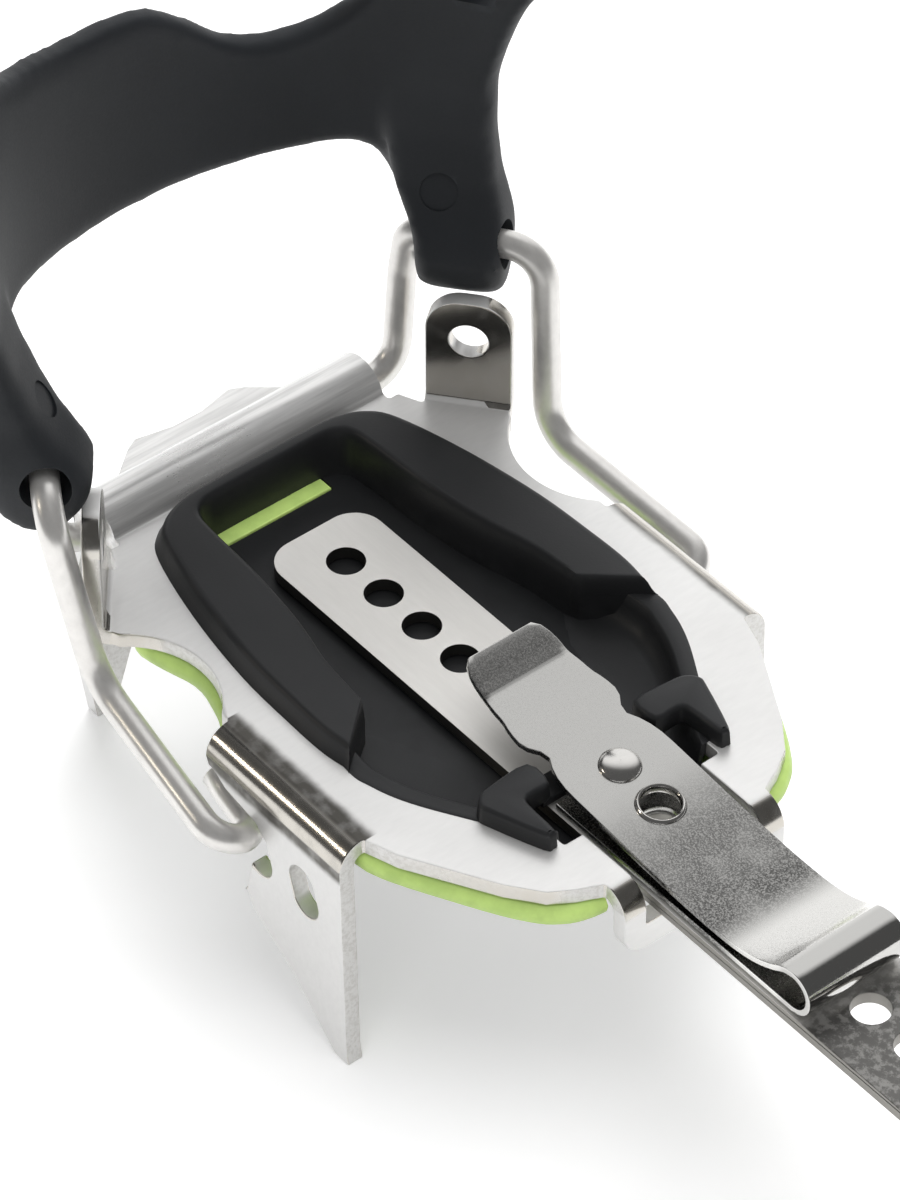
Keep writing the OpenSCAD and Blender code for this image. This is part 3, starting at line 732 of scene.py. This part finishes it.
class CRAMPON_OT_stage(bpy.types.Operator):
    """Camera, pale floor, soft lamps and surroundings"""

    bl_idname = "crampon.stage"
    bl_label = "Stage"

    # Name, place, size, power and whether the lamp shows in metal or lights the rest
    lamps = (("Rear softbox", (-1.5, 1.1, 1.7), 1.6, 34.0, False),
             ("Top softbox", (0.2, 0.3, 2.4), 1.8, 26.0, False),
             ("Front fill", (1.3, -1.6, 1.2), 1.4, 9.0, False),
             ("Edge strip", (-0.887, -1.003, 0.677), 0.13, 1.2, True))
    azimuth, elevation = -39.31, 43.77
    camera_aim, lamp_aim = (-25.4, 5.2, -1.5), (-20, 0, 0)
    wall_facing = Vector((-0.62, 0.55, 0.52)).normalized()

    def execute(self, context):
        scene, settings = context.scene, context.scene.crampon_stage
        scene.view_settings.view_transform = "Standard"
        self.add_camera(scene, settings)
        self.add_floor(settings.floor_tone)
        for lamp in self.lamps:
            self.add_lamp(scene, *lamp)
        self.add_world(scene)
        return {"FINISHED"}

    def add_camera(self, scene, settings):
        """Camera at the picture's angle."""
        (ca, sa), (ce, se) = cos_sin(self.azimuth), cos_sin(self.elevation)
        away = Vector((ca * ce, sa * ce, se))
        data = bpy.data.cameras.new("Camera")
        data.sensor_fit = "VERTICAL"
        data.sensor_height = 24.0
        data.lens = settings.camera_lens
        data.clip_start = 0.02
        camera = bpy.data.objects.new("Camera", data)
        camera.location = heel_at(*self.camera_aim) + away * settings.camera_distance
        camera.rotation_euler = (-away).to_track_quat("-Z", "Y").to_euler()
        scene.collection.objects.link(camera)
        scene.camera = camera

    def add_floor(self, tone):
        """Round floor that is seen as white and keeps the shadow."""
        material, tree, shader = new_material("Pale floor")
        path = tree.nodes.new("ShaderNodeLightPath").outputs
        seen = maths(tree, "MAXIMUM", path["Is Camera Ray"], path["Is Glossy Ray"],
                     path["Is Transmission Ray"])
        feed(tree, shader, {"Base Color": blended(tree, seen, (tone,) * 3, (0.95,) * 3),
                            "Emission Color": blended(tree, seen, (0.0,) * 3, (0.27,) * 3),
                            "Emission Strength": 1.0, "Roughness": 0.9, "Specular IOR Level": 0.0})
        sides = 96
        rings = [[Vector((r * c, r * s, 0.0)) for c, s in circle(sides)] for r in (0.2, 3.0)]
        verts, faces = skin(rings, closed=False)
        floor = new_piece("Floor", (verts, faces + [tuple(range(sides))]))
        floor.data.materials.append(material)

    def add_lamp(self, scene, name, place, size, power, in_metal):
        """Square lamp aimed at the heel."""
        data = bpy.data.lights.new(name, "AREA")
        data.shape = "SQUARE"
        data.size = size
        data.energy = power
        if in_metal:
            data.color = (1.0, 0.9, 0.75)
        lamp = bpy.data.objects.new(name, data)
        lamp.location = place
        aim = heel_at(*self.lamp_aim) - Vector(place)
        lamp.rotation_euler = aim.to_track_quat("-Z", "Y").to_euler()
        lamp.visible_glossy = in_metal
        lamp.visible_diffuse = not in_metal
        scene.collection.objects.link(lamp)

    def add_world(self, scene):
        """White surroundings with one bright wall in the metal."""
        scene.world = bpy.data.worlds.new("Studio")
        scene.world.use_nodes = True
        tree = scene.world.node_tree
        facing = add(tree, "ShaderNodeVectorMath", {0: coordinate(tree, "Generated"), 1: self.wall_facing},
                     operation="DOT_PRODUCT")
        wall = remap(tree, facing["Value"], 0.62, 0.90, 0.10, 1.0)
        path = tree.nodes.new("ShaderNodeLightPath").outputs
        in_metal = maths(tree, "MULTIPLY", wall, path["Is Glossy Ray"])
        soft = maths(tree, "MULTIPLY", path["Is Diffuse Ray"], 0.42)
        level = maths(tree, "MAXIMUM", in_metal, soft, path["Is Camera Ray"], path["Is Transmission Ray"])
        feed(tree, tree.nodes["Background"], {"Strength": level, "Color": (1.0, 1.0, 1.0, 1.0)})


class CRAMPON_OT_steel(bpy.types.Operator):
    """Stamped frames, centre bar and hinge fasteners with eased edges"""

    bl_idname = "crampon.steel"
    bl_label = "Frames, bar and fasteners"

    # Hollow behind the first wire slot of a side tooth, in (x, z), and the tooth's two sides in y
    notch = [(-27, -5.4), (-23.4, -5.4), (-21.0, -7.0), (-17.5, -7.7), (-14.6, -8.4), (-12.9, -10.6),
             (-12.9, -13.8), (-14.2, -15.8), (-15.7, -16.4), (-16.3, -19), (-16.9, -22.3), (-27, -22.3)]
    notch_sides = (32.6, 37.5)

    def execute(self, context):
        sizes = context.scene.crampon_sizes
        shape = skin([[heel_at(x, y, z) for x, z in self.notch] for y in self.notch_sides])
        eased_copy("heel_frame", "frame_steel", "heel", sizes.sheet_edge, (shape, flipped(shape)))
        eased_copy("toe_frame", "frame_steel", "toe", sizes.sheet_edge, ())
        eased_copy("centre_bar", "bar_steel", "bar", sizes.small_edge, ())
        for node in ("hinge_bolt", "hinge_nut", "hinge_washers"):
            eased_copy(node, "fastener_steel", "toe", sizes.small_edge, ())
        return {"FINISHED"}


class CRAMPON_OT_clip(bpy.types.Operator):
    """Sprung strip that folds over itself, from the leaf on the bar to the lifting tab"""

    bl_idname = "crampon.clip"
    bl_label = "Sprung clip"

    # Middle line of the strip in (x, z), from the leaf's rear end round the loop to the tab's tip
    leaf = [(12.2, -1.85), (30, -1.85), (46, -1.85), (57.3, -1.85)]
    loop_x, loop_z, loop_r = 57.3, 1.1, 2.95
    lever = [(57.3, 4.05), (55.4, 3.6), (53.2, 2.3), (50, 1.0), (46, 0.30), (41, 0.15), (35, 0.35),
             (28, 0.85), (20, 1.6), (12, 2.35), (6, 3.0), (1, 3.6), (-2.6, 4.05), (-3.6, 4.25),
             (-4.6, 4.65), (-9.0, 6.5)]
    # Half width of the leaf, and half widths along the lever by x
    leaf_half = 8.2
    width = [(-9.4, 4.0), (-9.2, 4.9), (-8.6, 5.9), (-7.4, 6.6), (-5, 6.95), (0, 7.4), (3.4, 8.0), (5.2, 8.1),
             (6.4, 7.6), (7.6, 6.7), (8.8, 6.5), (10.5, 7.3), (13, 8.1), (16, 8.2), (60, 8.2)]
    # Places of the stud and the eyelet on the lever in (x, z), and their sections in (radius, height)
    stud_at, eyelet_at = (15.1, 2.06), (23.1, 1.76)
    stud = ([(2.9 * s, 0.42 + 1.15 * c) for c, s in map(cos_sin, (1, 15, 30, 45, 60, 75, 90))]
            + [(2.75, 0.2), (1.5, 0.2), (1.5, -0.6), (2.1, -0.6), (2.1, -3.6), (1.9, -3.85), (0.02, -3.85)])
    eyelet = [(2.75, -0.85), (2.75, 0.2), (2.86, 0.38), (3.05, 0.42), (3.25, 0.26), (3.45, -0.06),
              (3.45, -0.3), (3.0, -0.85)]

    def execute(self, context):
        strip = new_piece("sprung_clip", self.strip(context.scene.crampon_sizes.strip / 2 / MM))
        for x, top, radius in ((self.eyelet_at[0], 6, 2.8), (self.stud_at[0], 0.5, 4.1)):
            cut(strip, rod(heel_at(x, 0, -6), heel_at(x, 0, top), radius))
        ease(strip, 0.16 * MM, 50)
        finish_piece(strip, "spring_steel", None, ("adjuster_leaf", "adjuster_lever"))
        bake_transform(strip)
        self.turned("clip_eyelet", self.eyelet_at, self.eyelet, ())
        self.turned("lever_stud_turned", self.stud_at, self.stud, ("lever_stud",))
        return {"FINISHED"}

    def strip(self, half):
        """Shape of the whole strip, from half its thickness in millimetres."""
        turns = [cos_sin(-90 + 12 * k) for k in range(1, 16)]
        line = smooth_line(self.leaf, 3)
        line += [Vector((self.loop_x + self.loop_r * c, self.loop_z + self.loop_r * s)) for c, s in turns]
        line += smooth_line(self.lever, 4)[1:]
        shares = [k / 6 - 1 for k in range(13)]
        rings = []
        for i, p in enumerate(line):
            run = (line[min(i + 1, len(line) - 1)] - line[max(i - 1, 0)]).normalized()
            normal = Vector((-run.y, run.x))
            on_lever = i > len(line) // 3 and p.y > 0
            wide = table_value(self.width, p.x) if on_lever else self.leaf_half
            faces = [(p + normal * half * side, side) for side in (1, -1)]
            rings.append([heel_at(q.x, wide * share * side, q.y) for q, side in faces for share in shares])
        return skin(rings)

    def turned(self, name, place, section, nodes):
        """Steel piece turned about the lever's normal."""
        slope = math.atan2(-0.75, 8)
        c, s = math.cos(slope), math.sin(slope)
        run, up = Vector((c, 0, s)), Vector((-s, 0, c))
        middle = heel_at(place[0], 0, place[1])
        turns = circle(64)
        rings = []
        for c, s in turns + turns[:1]:
            out = run * c + Vector((0, 1, 0)) * s
            rings.append([middle + (out * r + up * h) * MM for r, h in section])
        piece = new_piece(name, skin(rings, closed=False), weld=True)
        finish_piece(piece, "fastener_steel", "lever", nodes, 50)


class CRAMPON_OT_heel_insert(bpy.types.Operator):
    """Hard black insert of the heel: ridge, floor, front flats and the hooks over the bar"""

    bl_idname = "crampon.heel_insert"
    bl_label = "Heel insert"

    # Outer and inner edge of the ridge, from the rear middle to the end of an arm
    outer = [(-60.6, 0), (-60.6, 8), (-60.2, 14.2), (-58.4, 18.2), (-54.5, 20.9), (-43, 23.9), (-30, 25.9),
             (-19, 26.4), (-12.6, 26.4), (-8.4, 25.8)]
    inner = [(-57.6, 0), (-57.6, 7.0), (-57.3, 10.3), (-55.7, 12.3), (-51.5, 12.9), (-42, 13.4), (-32, 14.7),
             (-24, 16.6), (-18.6, 17.3), (-15.6, 17.6)]
    ridge_top = 3.0
    # How far the ridge's top drops past the end of an arm, and how far on
    arm_end = ((0.1, 0.4), (0.35, 0.75), (0.8, 1.05), (1.5, 1.3), (2.3, 1.45), (3.0, 1.5))
    # Outer edge of the flats, and their inner edge by x
    flat_edge = [(-24, 23.6), (-9, 25.9), (-4, 25.4), (1.5, 23.4), (8.5, 19.4), (13, 16.6), (17.2, 13.6)]
    flat_inner = [(-24, 18.2), (-17, 17.4), (-11, 13.6), (-4, 11.0), (2, 10.2), (18, 10.2)]
    hook = [(7.2, 8.8), (7.2, 15.0), (7.8, 17.4), (9.4, 18.7), (11.4, 18.3), (18.6, 15.6), (19.3, 14.5),
            (18.6, 13.5), (13.4, 13.2), (12.2, 12.5), (11.9, 8.8)]
    floor_half = [(-57.9, 0), (-57.9, 12.6), (-54, 17.6), (-43, 20.6), (-30, 23.2), (-8, 23.6), (1.5, 20.6),
                  (7.5, 17.4), (16.8, 12.6), (19.2, 12.6), (19.2, 0)]

    def ridge(self):
        """U-shaped ridge with rounded shoulders that drops off past the end of each arm."""
        edges = zip(smooth_line(self.outer, 5), smooth_line(self.inner, 5))
        stations = [(o, i, self.ridge_top) for o, i in edges]
        o, i, top = stations[-1]
        along = Vector((0.9, 0.35)).normalized()
        stations += [(o + along * step * 0.6, i + along * step, top - drop) for drop, step in self.arm_end]
        other = [(Vector((o.x, -o.y)), Vector((i.x, -i.y)), top) for o, i, top in stations[::-1]]
        rings = []
        for o, i, top in other + stations[1:]:
            reach = (o - i).length
            out = (o - i) / reach
            inside, outside, soft = min(0.9, 0.2 * reach), min(1.7, 0.32 * reach), min(0.5, 0.08 * reach)
            tall = max(top, 0.06)
            section = [(0, -5.3), (0, -0.5)]
            section += [(a * inside, tall * h) for a, h in
                        ((0.3, 0.5), (0.5, 0.78), (0.75, 0.92), (1, 0.985))]
            section += [(inside + soft, tall), (reach - outside - soft, tall)]
            section += [(reach - a * outside, tall * h) for a, h in
                        ((1, 0.985), (0.8, 0.92), (0.62, 0.76), (0.42, 0.46), (0.12, 0.1))]
            section += [(reach, 0.02), (0.72 * reach, 0.02), (0.68 * reach, -5.3)]
            rings.append([heel_at((i + out * a).x, (i + out * a).y, z) for a, z in section])
        return skin(rings)

    def flats(self):
        """Sunk face ahead of an arm, with a flat rim along the frame."""
        rings = []
        for x, y in smooth_line(self.flat_edge, 6):
            low = table_value(self.flat_inner, x)
            run = min(1.0, (y - low) / 6.0)
            section = [(y, -0.9), (y, 0.06), (y - 0.2, 0.14)]
            section += [(y - a * run, z) for a, z in ((0.8, 0.16), (2.5, 0.12), (2.8, -0.1), (3.2, -1.6),
                                                      (3.9, -3.4), (5.5, -4.5))]
            section += [(low, -4.95), (low, -6.8), (y - 2.8 * run, -6.8), (y - 2.4 * run, -2.6)]
            rings.append([heel_at(x, a, z) for a, z in section])
        return skin(rings)

    def execute(self, context):
        outline = mirrored(self.floor_half)
        floor = new_piece("heel_insert_floor", slab(outline, [(-7.1, 0), (-4.9, 0)], heel_at))
        cut(floor, block(heel_at(-56.55, 0, -6), (1.4, 9.1, 3)))
        ease(floor, 0.3 * MM)
        flat = self.flats()
        arm = slab(smooth_line(self.hook, 3, closed=True)[::-1], rounded(-0.6, 2.8, 0.7, 0.15), heel_at)
        bridge = slab(oblong(7.5, 11.4, 9.6), rounded(-2.25, -0.85, 0.4), heel_at)
        shape = joined(self.ridge(), flat, flipped(flat), arm, flipped(arm), bridge)
        body = new_piece("heel_insert_ridge", shape)
        finish_piece(body, "black_plastic", "heel", ("heel_insert",), 42)
        finish_piece(floor, "black_plastic", "heel")
        return {"FINISHED"}


class CRAMPON_OT_shells(bpy.types.Operator):
    """Soft green bowls under both frames"""

    bl_idname = "crampon.shells"
    bl_label = "Green shells"

    heel_line = [(-60.8, 0), (-60.8, 19.4), (-57, 24.4), (-47, 30.2), (-43, 29.6), (-36, 27.6), (-29, 29.6),
                 (-25, 31.9), (2, 32.1), (7, 30.4), (19.8, 23.6), (24.4, 20.4), (26.6, 17.4), (27.6, 13.5),
                 (27.6, 0)]
    toe_line = [(20, 0), (20, 24), (26, 37), (42, 39.6), (45, 36.4), (51, 36.4), (54, 39.6), (72, 39.6),
                (77, 30.4), (77, 0)]
    # Height and inset of the wall, up its inside, over the bead and down its outside
    wall = [(-11.4, 13.0), (-11.2, 11.4), (-10.2, 9.8), (-8.4, 8.4), (-6.4, 6.2), (-5.4, 3.4), (-4.6, 2.0),
            (-3.0, 1.7), (-2.65, 1.4), (-2.65, 0.2), (-3.0, -0.5), (-3.9, -0.95), (-5.0, -0.7), (-5.9, 0.2),
            (-6.4, 1.4), (-7.4, 4.6), (-9.4, 6.8), (-11.4, 8.2), (-12.6, 9.8), (-13.0, 12.2)]

    def bowl(self, half, place):
        """Thin bowl over an outline whose corners are cut off twice."""
        line = mirrored(half)
        for turn in range(2):
            line = [p for a, b in zip(line, line[1:] + line[:1]) for p in (a.lerp(b, 0.2), a.lerp(b, 0.8))]
        fine = []
        for a, b in zip(line, line[1:] + line[:1]):
            n = max(1, round((b - a).length / 2.0))
            fine += [a + (b - a) * k / n for k in range(n)]
        return slab(fine, self.wall, place)

    def execute(self, context):
        heel = new_piece("heel_shell_bowl", self.bowl(self.heel_line, heel_at))
        cut(heel, block(heel_at(38.5, 0, 0), (20, 13.1, 12.4)))
        finish_piece(heel, "green_plastic", "heel", ("heel_shell",), 50)
        rib = new_piece("heel_shell_rib", slab(oblong(-57.9, -55.3, 8.9), rounded(-9, -4.75, 0.3), heel_at))
        finish_piece(rib, "green_plastic", "heel", (), 50)
        toe = new_piece("toe_shell_bowl", self.bowl(self.toe_line, toe_at))
        finish_piece(toe, "green_plastic", "toe", ("toe_shell",), 50)
        return {"FINISHED"}


class CRAMPON_OT_bails(bpy.types.Operator):
    """Bent wire bails of the heel and the toe"""

    bl_idname = "crampon.bails"
    bl_label = "Wire bails"

    # One side of each bail from its middle to its end, as places with the radius of the bend there
    heel_side = [((-66, 28.8, -1.4), 5.5), ((-67.4, 31.2, 14), 8), ((-65.6, 31.0, 22.8), 4),
                 ((-49.6, 41.4, 23.4), 5.5), ((-44.9, 38.4, -4.0), 7), ((-15.4, 41.6, -8.6), 5),
                 ((-14.9, 35.2, -11.4), 3.2), ((-25.5, 34.4, -8.4), 0)]
    toe_side = [((88.5, 37.8, 21), 6), ((80, 45.6, 14), 8), ((64.6, 47, -8), 6), ((62, 46.0, -11), 4),
                ((62, 40.8, -11), 0)]
    # Round front of the toe bail: its middle, radius, height, half angle and steps
    hoop_x, hoop_r, hoop_z, hoop_half, hoop_steps = 60, 47, 22, 45, 20

    def execute(self, context):
        radius = context.scene.crampon_sizes.wire_radius
        path = self.finer(self.path(self.heel_side, [], 10))
        wire = new_piece("heel_bail_wire", tube([heel_at(*p) for p in path], radius))
        finish_piece(wire, "wire_steel", "heel", ("heel_bail",), 60)
        steps = self.hoop_steps
        turns = [cos_sin(self.hoop_half * k / steps) for k in range(-steps, steps + 1)]
        hoop = [Vector((self.hoop_x + self.hoop_r * c, self.hoop_r * s, self.hoop_z)) for c, s in turns]
        path = self.path(self.toe_side, hoop, 6)
        wire = new_piece("toe_bail_wire", tube([toe_at(*p) for p in path], radius))
        finish_piece(wire, "wire_steel", "toe_bail", ("toe_bail",), 60)
        return {"FINISHED"}

    def path(self, side, middle, steps):
        """Bent line from one end of a bail to the other, with what lies between its two sides."""
        points = [Vector((x, -y, z)) for (x, y, z), r in side[::-1]] + middle + [Vector(p) for p, r in side]
        bends = [r for p, r in side[:-1]]
        return bent_line(points, bends[::-1] + [2.0] * len(middle) + bends, steps)

    def finer(self, path, longest=3.0):
        """Path with its long runs divided."""
        out = [path[0]]
        for start, p in zip(path, path[1:]):
            n = max(1, int((p - start).length / longest))
            out += [start + (p - start) * k / n for k in range(1, n + 1)]
        return out


class CRAMPON_OT_heel_cradle(bpy.types.Operator):
    """Elastomer cradle behind the heel, with its legs on the wire"""

    bl_idname = "crampon.heel_cradle"
    bl_label = "Heel cradle"

    # Turn from the middle of the back in degrees, with the wall's lower and upper edge there
    wall = [(-71, 66, 76), (-65.4, 60, 76), (-62.2, 54, 76), (-59.5, 46, 76), (-56.5, 35, 76), (-52, 28, 76),
            (-46, 26.5, 76), (-43, 27, 75.6), (-41.3, 30.6, 75), (-38.4, 33, 73.6), (-33, 34, 70.4),
            (-27, 33.4, 67.6), (-20, 32.6, 65.6), (-14, 32, 64), (-7, 31.6, 63), (0, 31.4, 62.2),
            (5, 31.5, 60.8), (11, 31.7, 57), (16.5, 32, 53), (22.5, 32.4, 51.4), (29, 32.9, 52.2),
            (34, 33.2, 54.4), (38.4, 32.6, 57.8), (41.3, 30.2, 61.2), (43, 27, 63.4), (46, 26.5, 67.4),
            (52, 28, 74.2), (56.5, 35, 75.8), (59.5, 46, 76), (62.2, 54, 76), (65.4, 60, 76), (71, 66, 76)]
    # Middle and radius of the wall's circle, and its section as (distance off it, share of the height)
    wall_x, wall_r = -36, 49.5
    section = ((-2.5, 0.08), (-2.5, 0.5), (-2.5, 0.92), (-1.4, 1.0), (1.4, 1.0), (2.5, 0.92),
               (2.5, 0.5), (2.5, 0.08), (1.4, 0.0), (-1.4, 0.0))
    # A leg's middle, its turn in degrees, and its upper sections as height, half sizes and shifts
    leg_at, leg_turn, leg_square = (-59.44, 35.64), 39.2, 0.45
    leg_upper = [(25, 6.5, 6.4, -0.4, 0.8), (28, 7.0, 5.2, -1.8, 2.4), (31, 7.3, 4.5, -3.2, 3.8),
                 (37, 7.5, 3.8, -4.4, 5.8), (44, 7.8, 3.1, -4.8, 7.2), (51, 8.4, 2.6, -4.4, 7.3)]
    # Rear and front end of the wire's run through a leg, and the lowest place it takes behind the leg
    wire_run = ((-65.6, 31.0, 22.8), (-49.6, 41.4, 23.4), (-66.4, 31.2, 14))

    def band(self):
        """Wall behind the heel."""
        rings = []
        for turn, low, high in smooth_line(self.wall, 5):
            c, s = cos_sin(turn)
            section = [(self.wall_r + u, low + (high - low) * share) for u, share in self.section]
            rings.append([heel_at(self.wall_x - r * c, r * s, z) for r, z in section])
        return skin(rings)

    def leg(self):
        """Leg round the wire, rounded below and leaning back to the wall."""
        c, s = cos_sin(self.leg_turn)
        along, across, centre = Vector((c, s)), Vector((-s, c)), Vector(self.leg_at)
        turns = map(cos_sin, (8, 30, 50, 70, 90))
        levels = [(22.6 - 7.4 * c, 5.6 + 0.7 * s, 7.2 * s, 0, 0) for c, s in turns]
        rings = []
        for z, wide, deep, shift, lean in levels + self.leg_upper:
            middle = centre + along * shift + across * lean
            ring = []
            for turn in circle(32):
                c, s = (math.copysign(abs(part) ** self.leg_square, part) for part in turn)
                q = middle + along * wide * c + across * deep * s
                ring.append(heel_at(q.x, q.y, z))
            rings.append(ring)
        return skin(rings)

    def moulding_mark(self, cradle, side):
        """Shallow round mark on the inner face of a leg."""
        mesh = cradle.data
        tree = BVHTree.FromPolygons([v.co for v in mesh.vertices], [f.vertices for f in mesh.polygons])
        start = heel_at(-50, 20 * side, 31)
        place, normal = tree.ray_cast(start, heel_at(-62.9, 34.4 * side, 30.6) - start)[:2]
        if place is None:
            raise RuntimeError("The cradle leg isn't where its mark goes")
        cut(cradle, rod(place + normal * 2 * MM, place - normal * 0.22 * MM, 2.6))

    def execute(self, context):
        leg = self.leg()
        cradle = new_piece("heel_cradle_moulded", joined(self.band(), leg, flipped(leg)))
        blend_solids(cradle, context.scene.crampon_sizes.rubber_voxel, 8)
        for side in (1, -1):
            self.moulding_mark(cradle, side)
            rear, front, low = (heel_at(x, y * side, z) for x, y, z in self.wire_run)
            past = (front - rear) * 0.3
            cut(cradle, rod(rear - past, front + past, 3.4))
            cut(cradle, rod(rear, low, 2.45))
            cut(cradle, block(heel_at(-61.7, 42.3 * side, 66), (2.3, 9, 7)))
        finish_piece(cradle, "elastomer", "heel_cradle", ("heel_cradle",), 40)
        return {"FINISHED"}


class CRAMPON_OT_toe_pieces(bpy.types.Operator):
    """Black insert and elastomer cradle of the toe"""

    bl_idname = "crampon.toe_pieces"
    bl_label = "Toe insert and cradle"

    lip_half = [(22.2, 0), (22.2, 19.4), (31, 32), (65, 32), (74.8, 23), (74.8, 0)]
    plug_half = [(24.2, 0), (24.2, 17.8), (32.1, 29.8), (63.9, 29.8), (72.8, 21.8), (72.8, 0)]
    pad = [(33.4, 18.6), (48, 18.2), (62.6, 18.6), (63.2, 21.4), (62.4, 24.2), (48, 24.8), (33.6, 24.2),
           (32.8, 21.4)]
    # Middle of the cradle's circle, half its angle and its steps to a side
    cradle_x, cradle_half, cradle_steps = 60, 40, 24

    def execute(self, context):
        recess = slab(oblong(30, 66, 16), [(-4, 0.6), (3, 0)], toe_at)
        lip = new_piece("toe_insert_lip", slab(mirrored(self.lip_half), rounded(-0.2, 0.8, 0.3), toe_at))
        levels = [(-6, 0.4), (-5.6, 0), (0.1, 0)]
        plug = new_piece("toe_insert_plug", slab(mirrored(self.plug_half), levels, toe_at))
        for thing in (lip, plug):
            cut(thing, recess)
        pad = slab(smooth_line(self.pad, 4, closed=True), rounded(0.5, 3.0, 0.9, 0.4), toe_at)
        pads = new_piece("toe_insert_pads", joined(pad, flipped(pad)))
        for thing, nodes in ((lip, ("toe_insert",)), (plug, ()), (pads, ())):
            finish_piece(thing, "black_plastic", "toe", nodes, 40)
        self.cradle(context.scene.crampon_sizes.rubber_voxel)
        return {"FINISHED"}

    def cradle(self, voxel):
        """Band round the boot's toe, thick about the bail and thin above it, with two strap slots."""
        steps = self.cradle_steps
        rings = []
        for k in range(-steps, steps + 1):
            c, s = cos_sin(self.cradle_half * k / steps)
            ease_in = min(1.0, (steps - abs(k)) / 5)
            top = 38 + 6 * math.sin(ease_in * math.pi / 2) - 3.0 * (1 - (k / steps) ** 2)
            section = ((41.5, 17), (42.2, 16.2), (49.8, 16.2), (50.5, 17), (50.5, 26), (50.4, top - 1.2),
                       (49.4, top), (46.6, top), (45.6, top - 1.2), (45.4, 28.5), (41.6, 27))
            rings.append([toe_at(self.cradle_x + r * c, r * s, z) for r, z in section])
        cradle = new_piece("toe_cradle_moulded", skin(rings))
        blend_solids(cradle, voxel, 5)
        for turn in (-30, 30):
            c, s = cos_sin(turn)
            cut(cradle, block(toe_at(self.cradle_x + 48 * c, 48 * s, 35.5), (8, 2.3, 4.6), turn))
        finish_piece(cradle, "elastomer", "toe_bail", ("toe_cradle",), 40)


class CRAMPON_PT_panel(bpy.types.Panel):
    """Sizes, colours and steps of the crampon"""

    bl_label = "Strap Crampon"
    bl_idname = "CRAMPON_PT_panel"
    bl_space_type = "VIEW_3D"
    bl_region_type = "UI"
    bl_category = "Crampon"

    def draw(self, context):
        scene = context.scene
        for group in (scene.crampon_sizes, scene.crampon_colours, scene.crampon_stage):
            box = self.layout.box()
            for label in group.__annotations__:
                box.prop(group, label)
        for step in STEPS:
            self.layout.operator(step.bl_idname)


STEPS = (CRAMPON_OT_stage, CRAMPON_OT_steel, CRAMPON_OT_clip, CRAMPON_OT_heel_insert, CRAMPON_OT_shells,
         CRAMPON_OT_bails, CRAMPON_OT_heel_cradle, CRAMPON_OT_toe_pieces)
CLASSES = (CramponSizes, CramponColours, CramponStage) + STEPS + (CRAMPON_PT_panel,)


def register():
    for item in CLASSES:
        bpy.utils.register_class(item)
    bpy.types.Scene.crampon_sizes = PointerProperty(type=CramponSizes)
    bpy.types.Scene.crampon_colours = PointerProperty(type=CramponColours)
    bpy.types.Scene.crampon_stage = PointerProperty(type=CramponStage)


def unregister():
    del bpy.types.Scene.crampon_stage
    del bpy.types.Scene.crampon_colours
    del bpy.types.Scene.crampon_sizes
    for item in reversed(CLASSES):
        bpy.utils.unregister_class(item)


def main():
    register()
    bpy.ops.crampon.stage()
    bpy.ops.crampon.steel()
    bpy.ops.crampon.clip()
    bpy.ops.crampon.heel_insert()
    bpy.ops.crampon.shells()
    bpy.ops.crampon.bails()
    bpy.ops.crampon.heel_cradle()
    bpy.ops.crampon.toe_pieces()


if __name__ == "__main__":
    main()
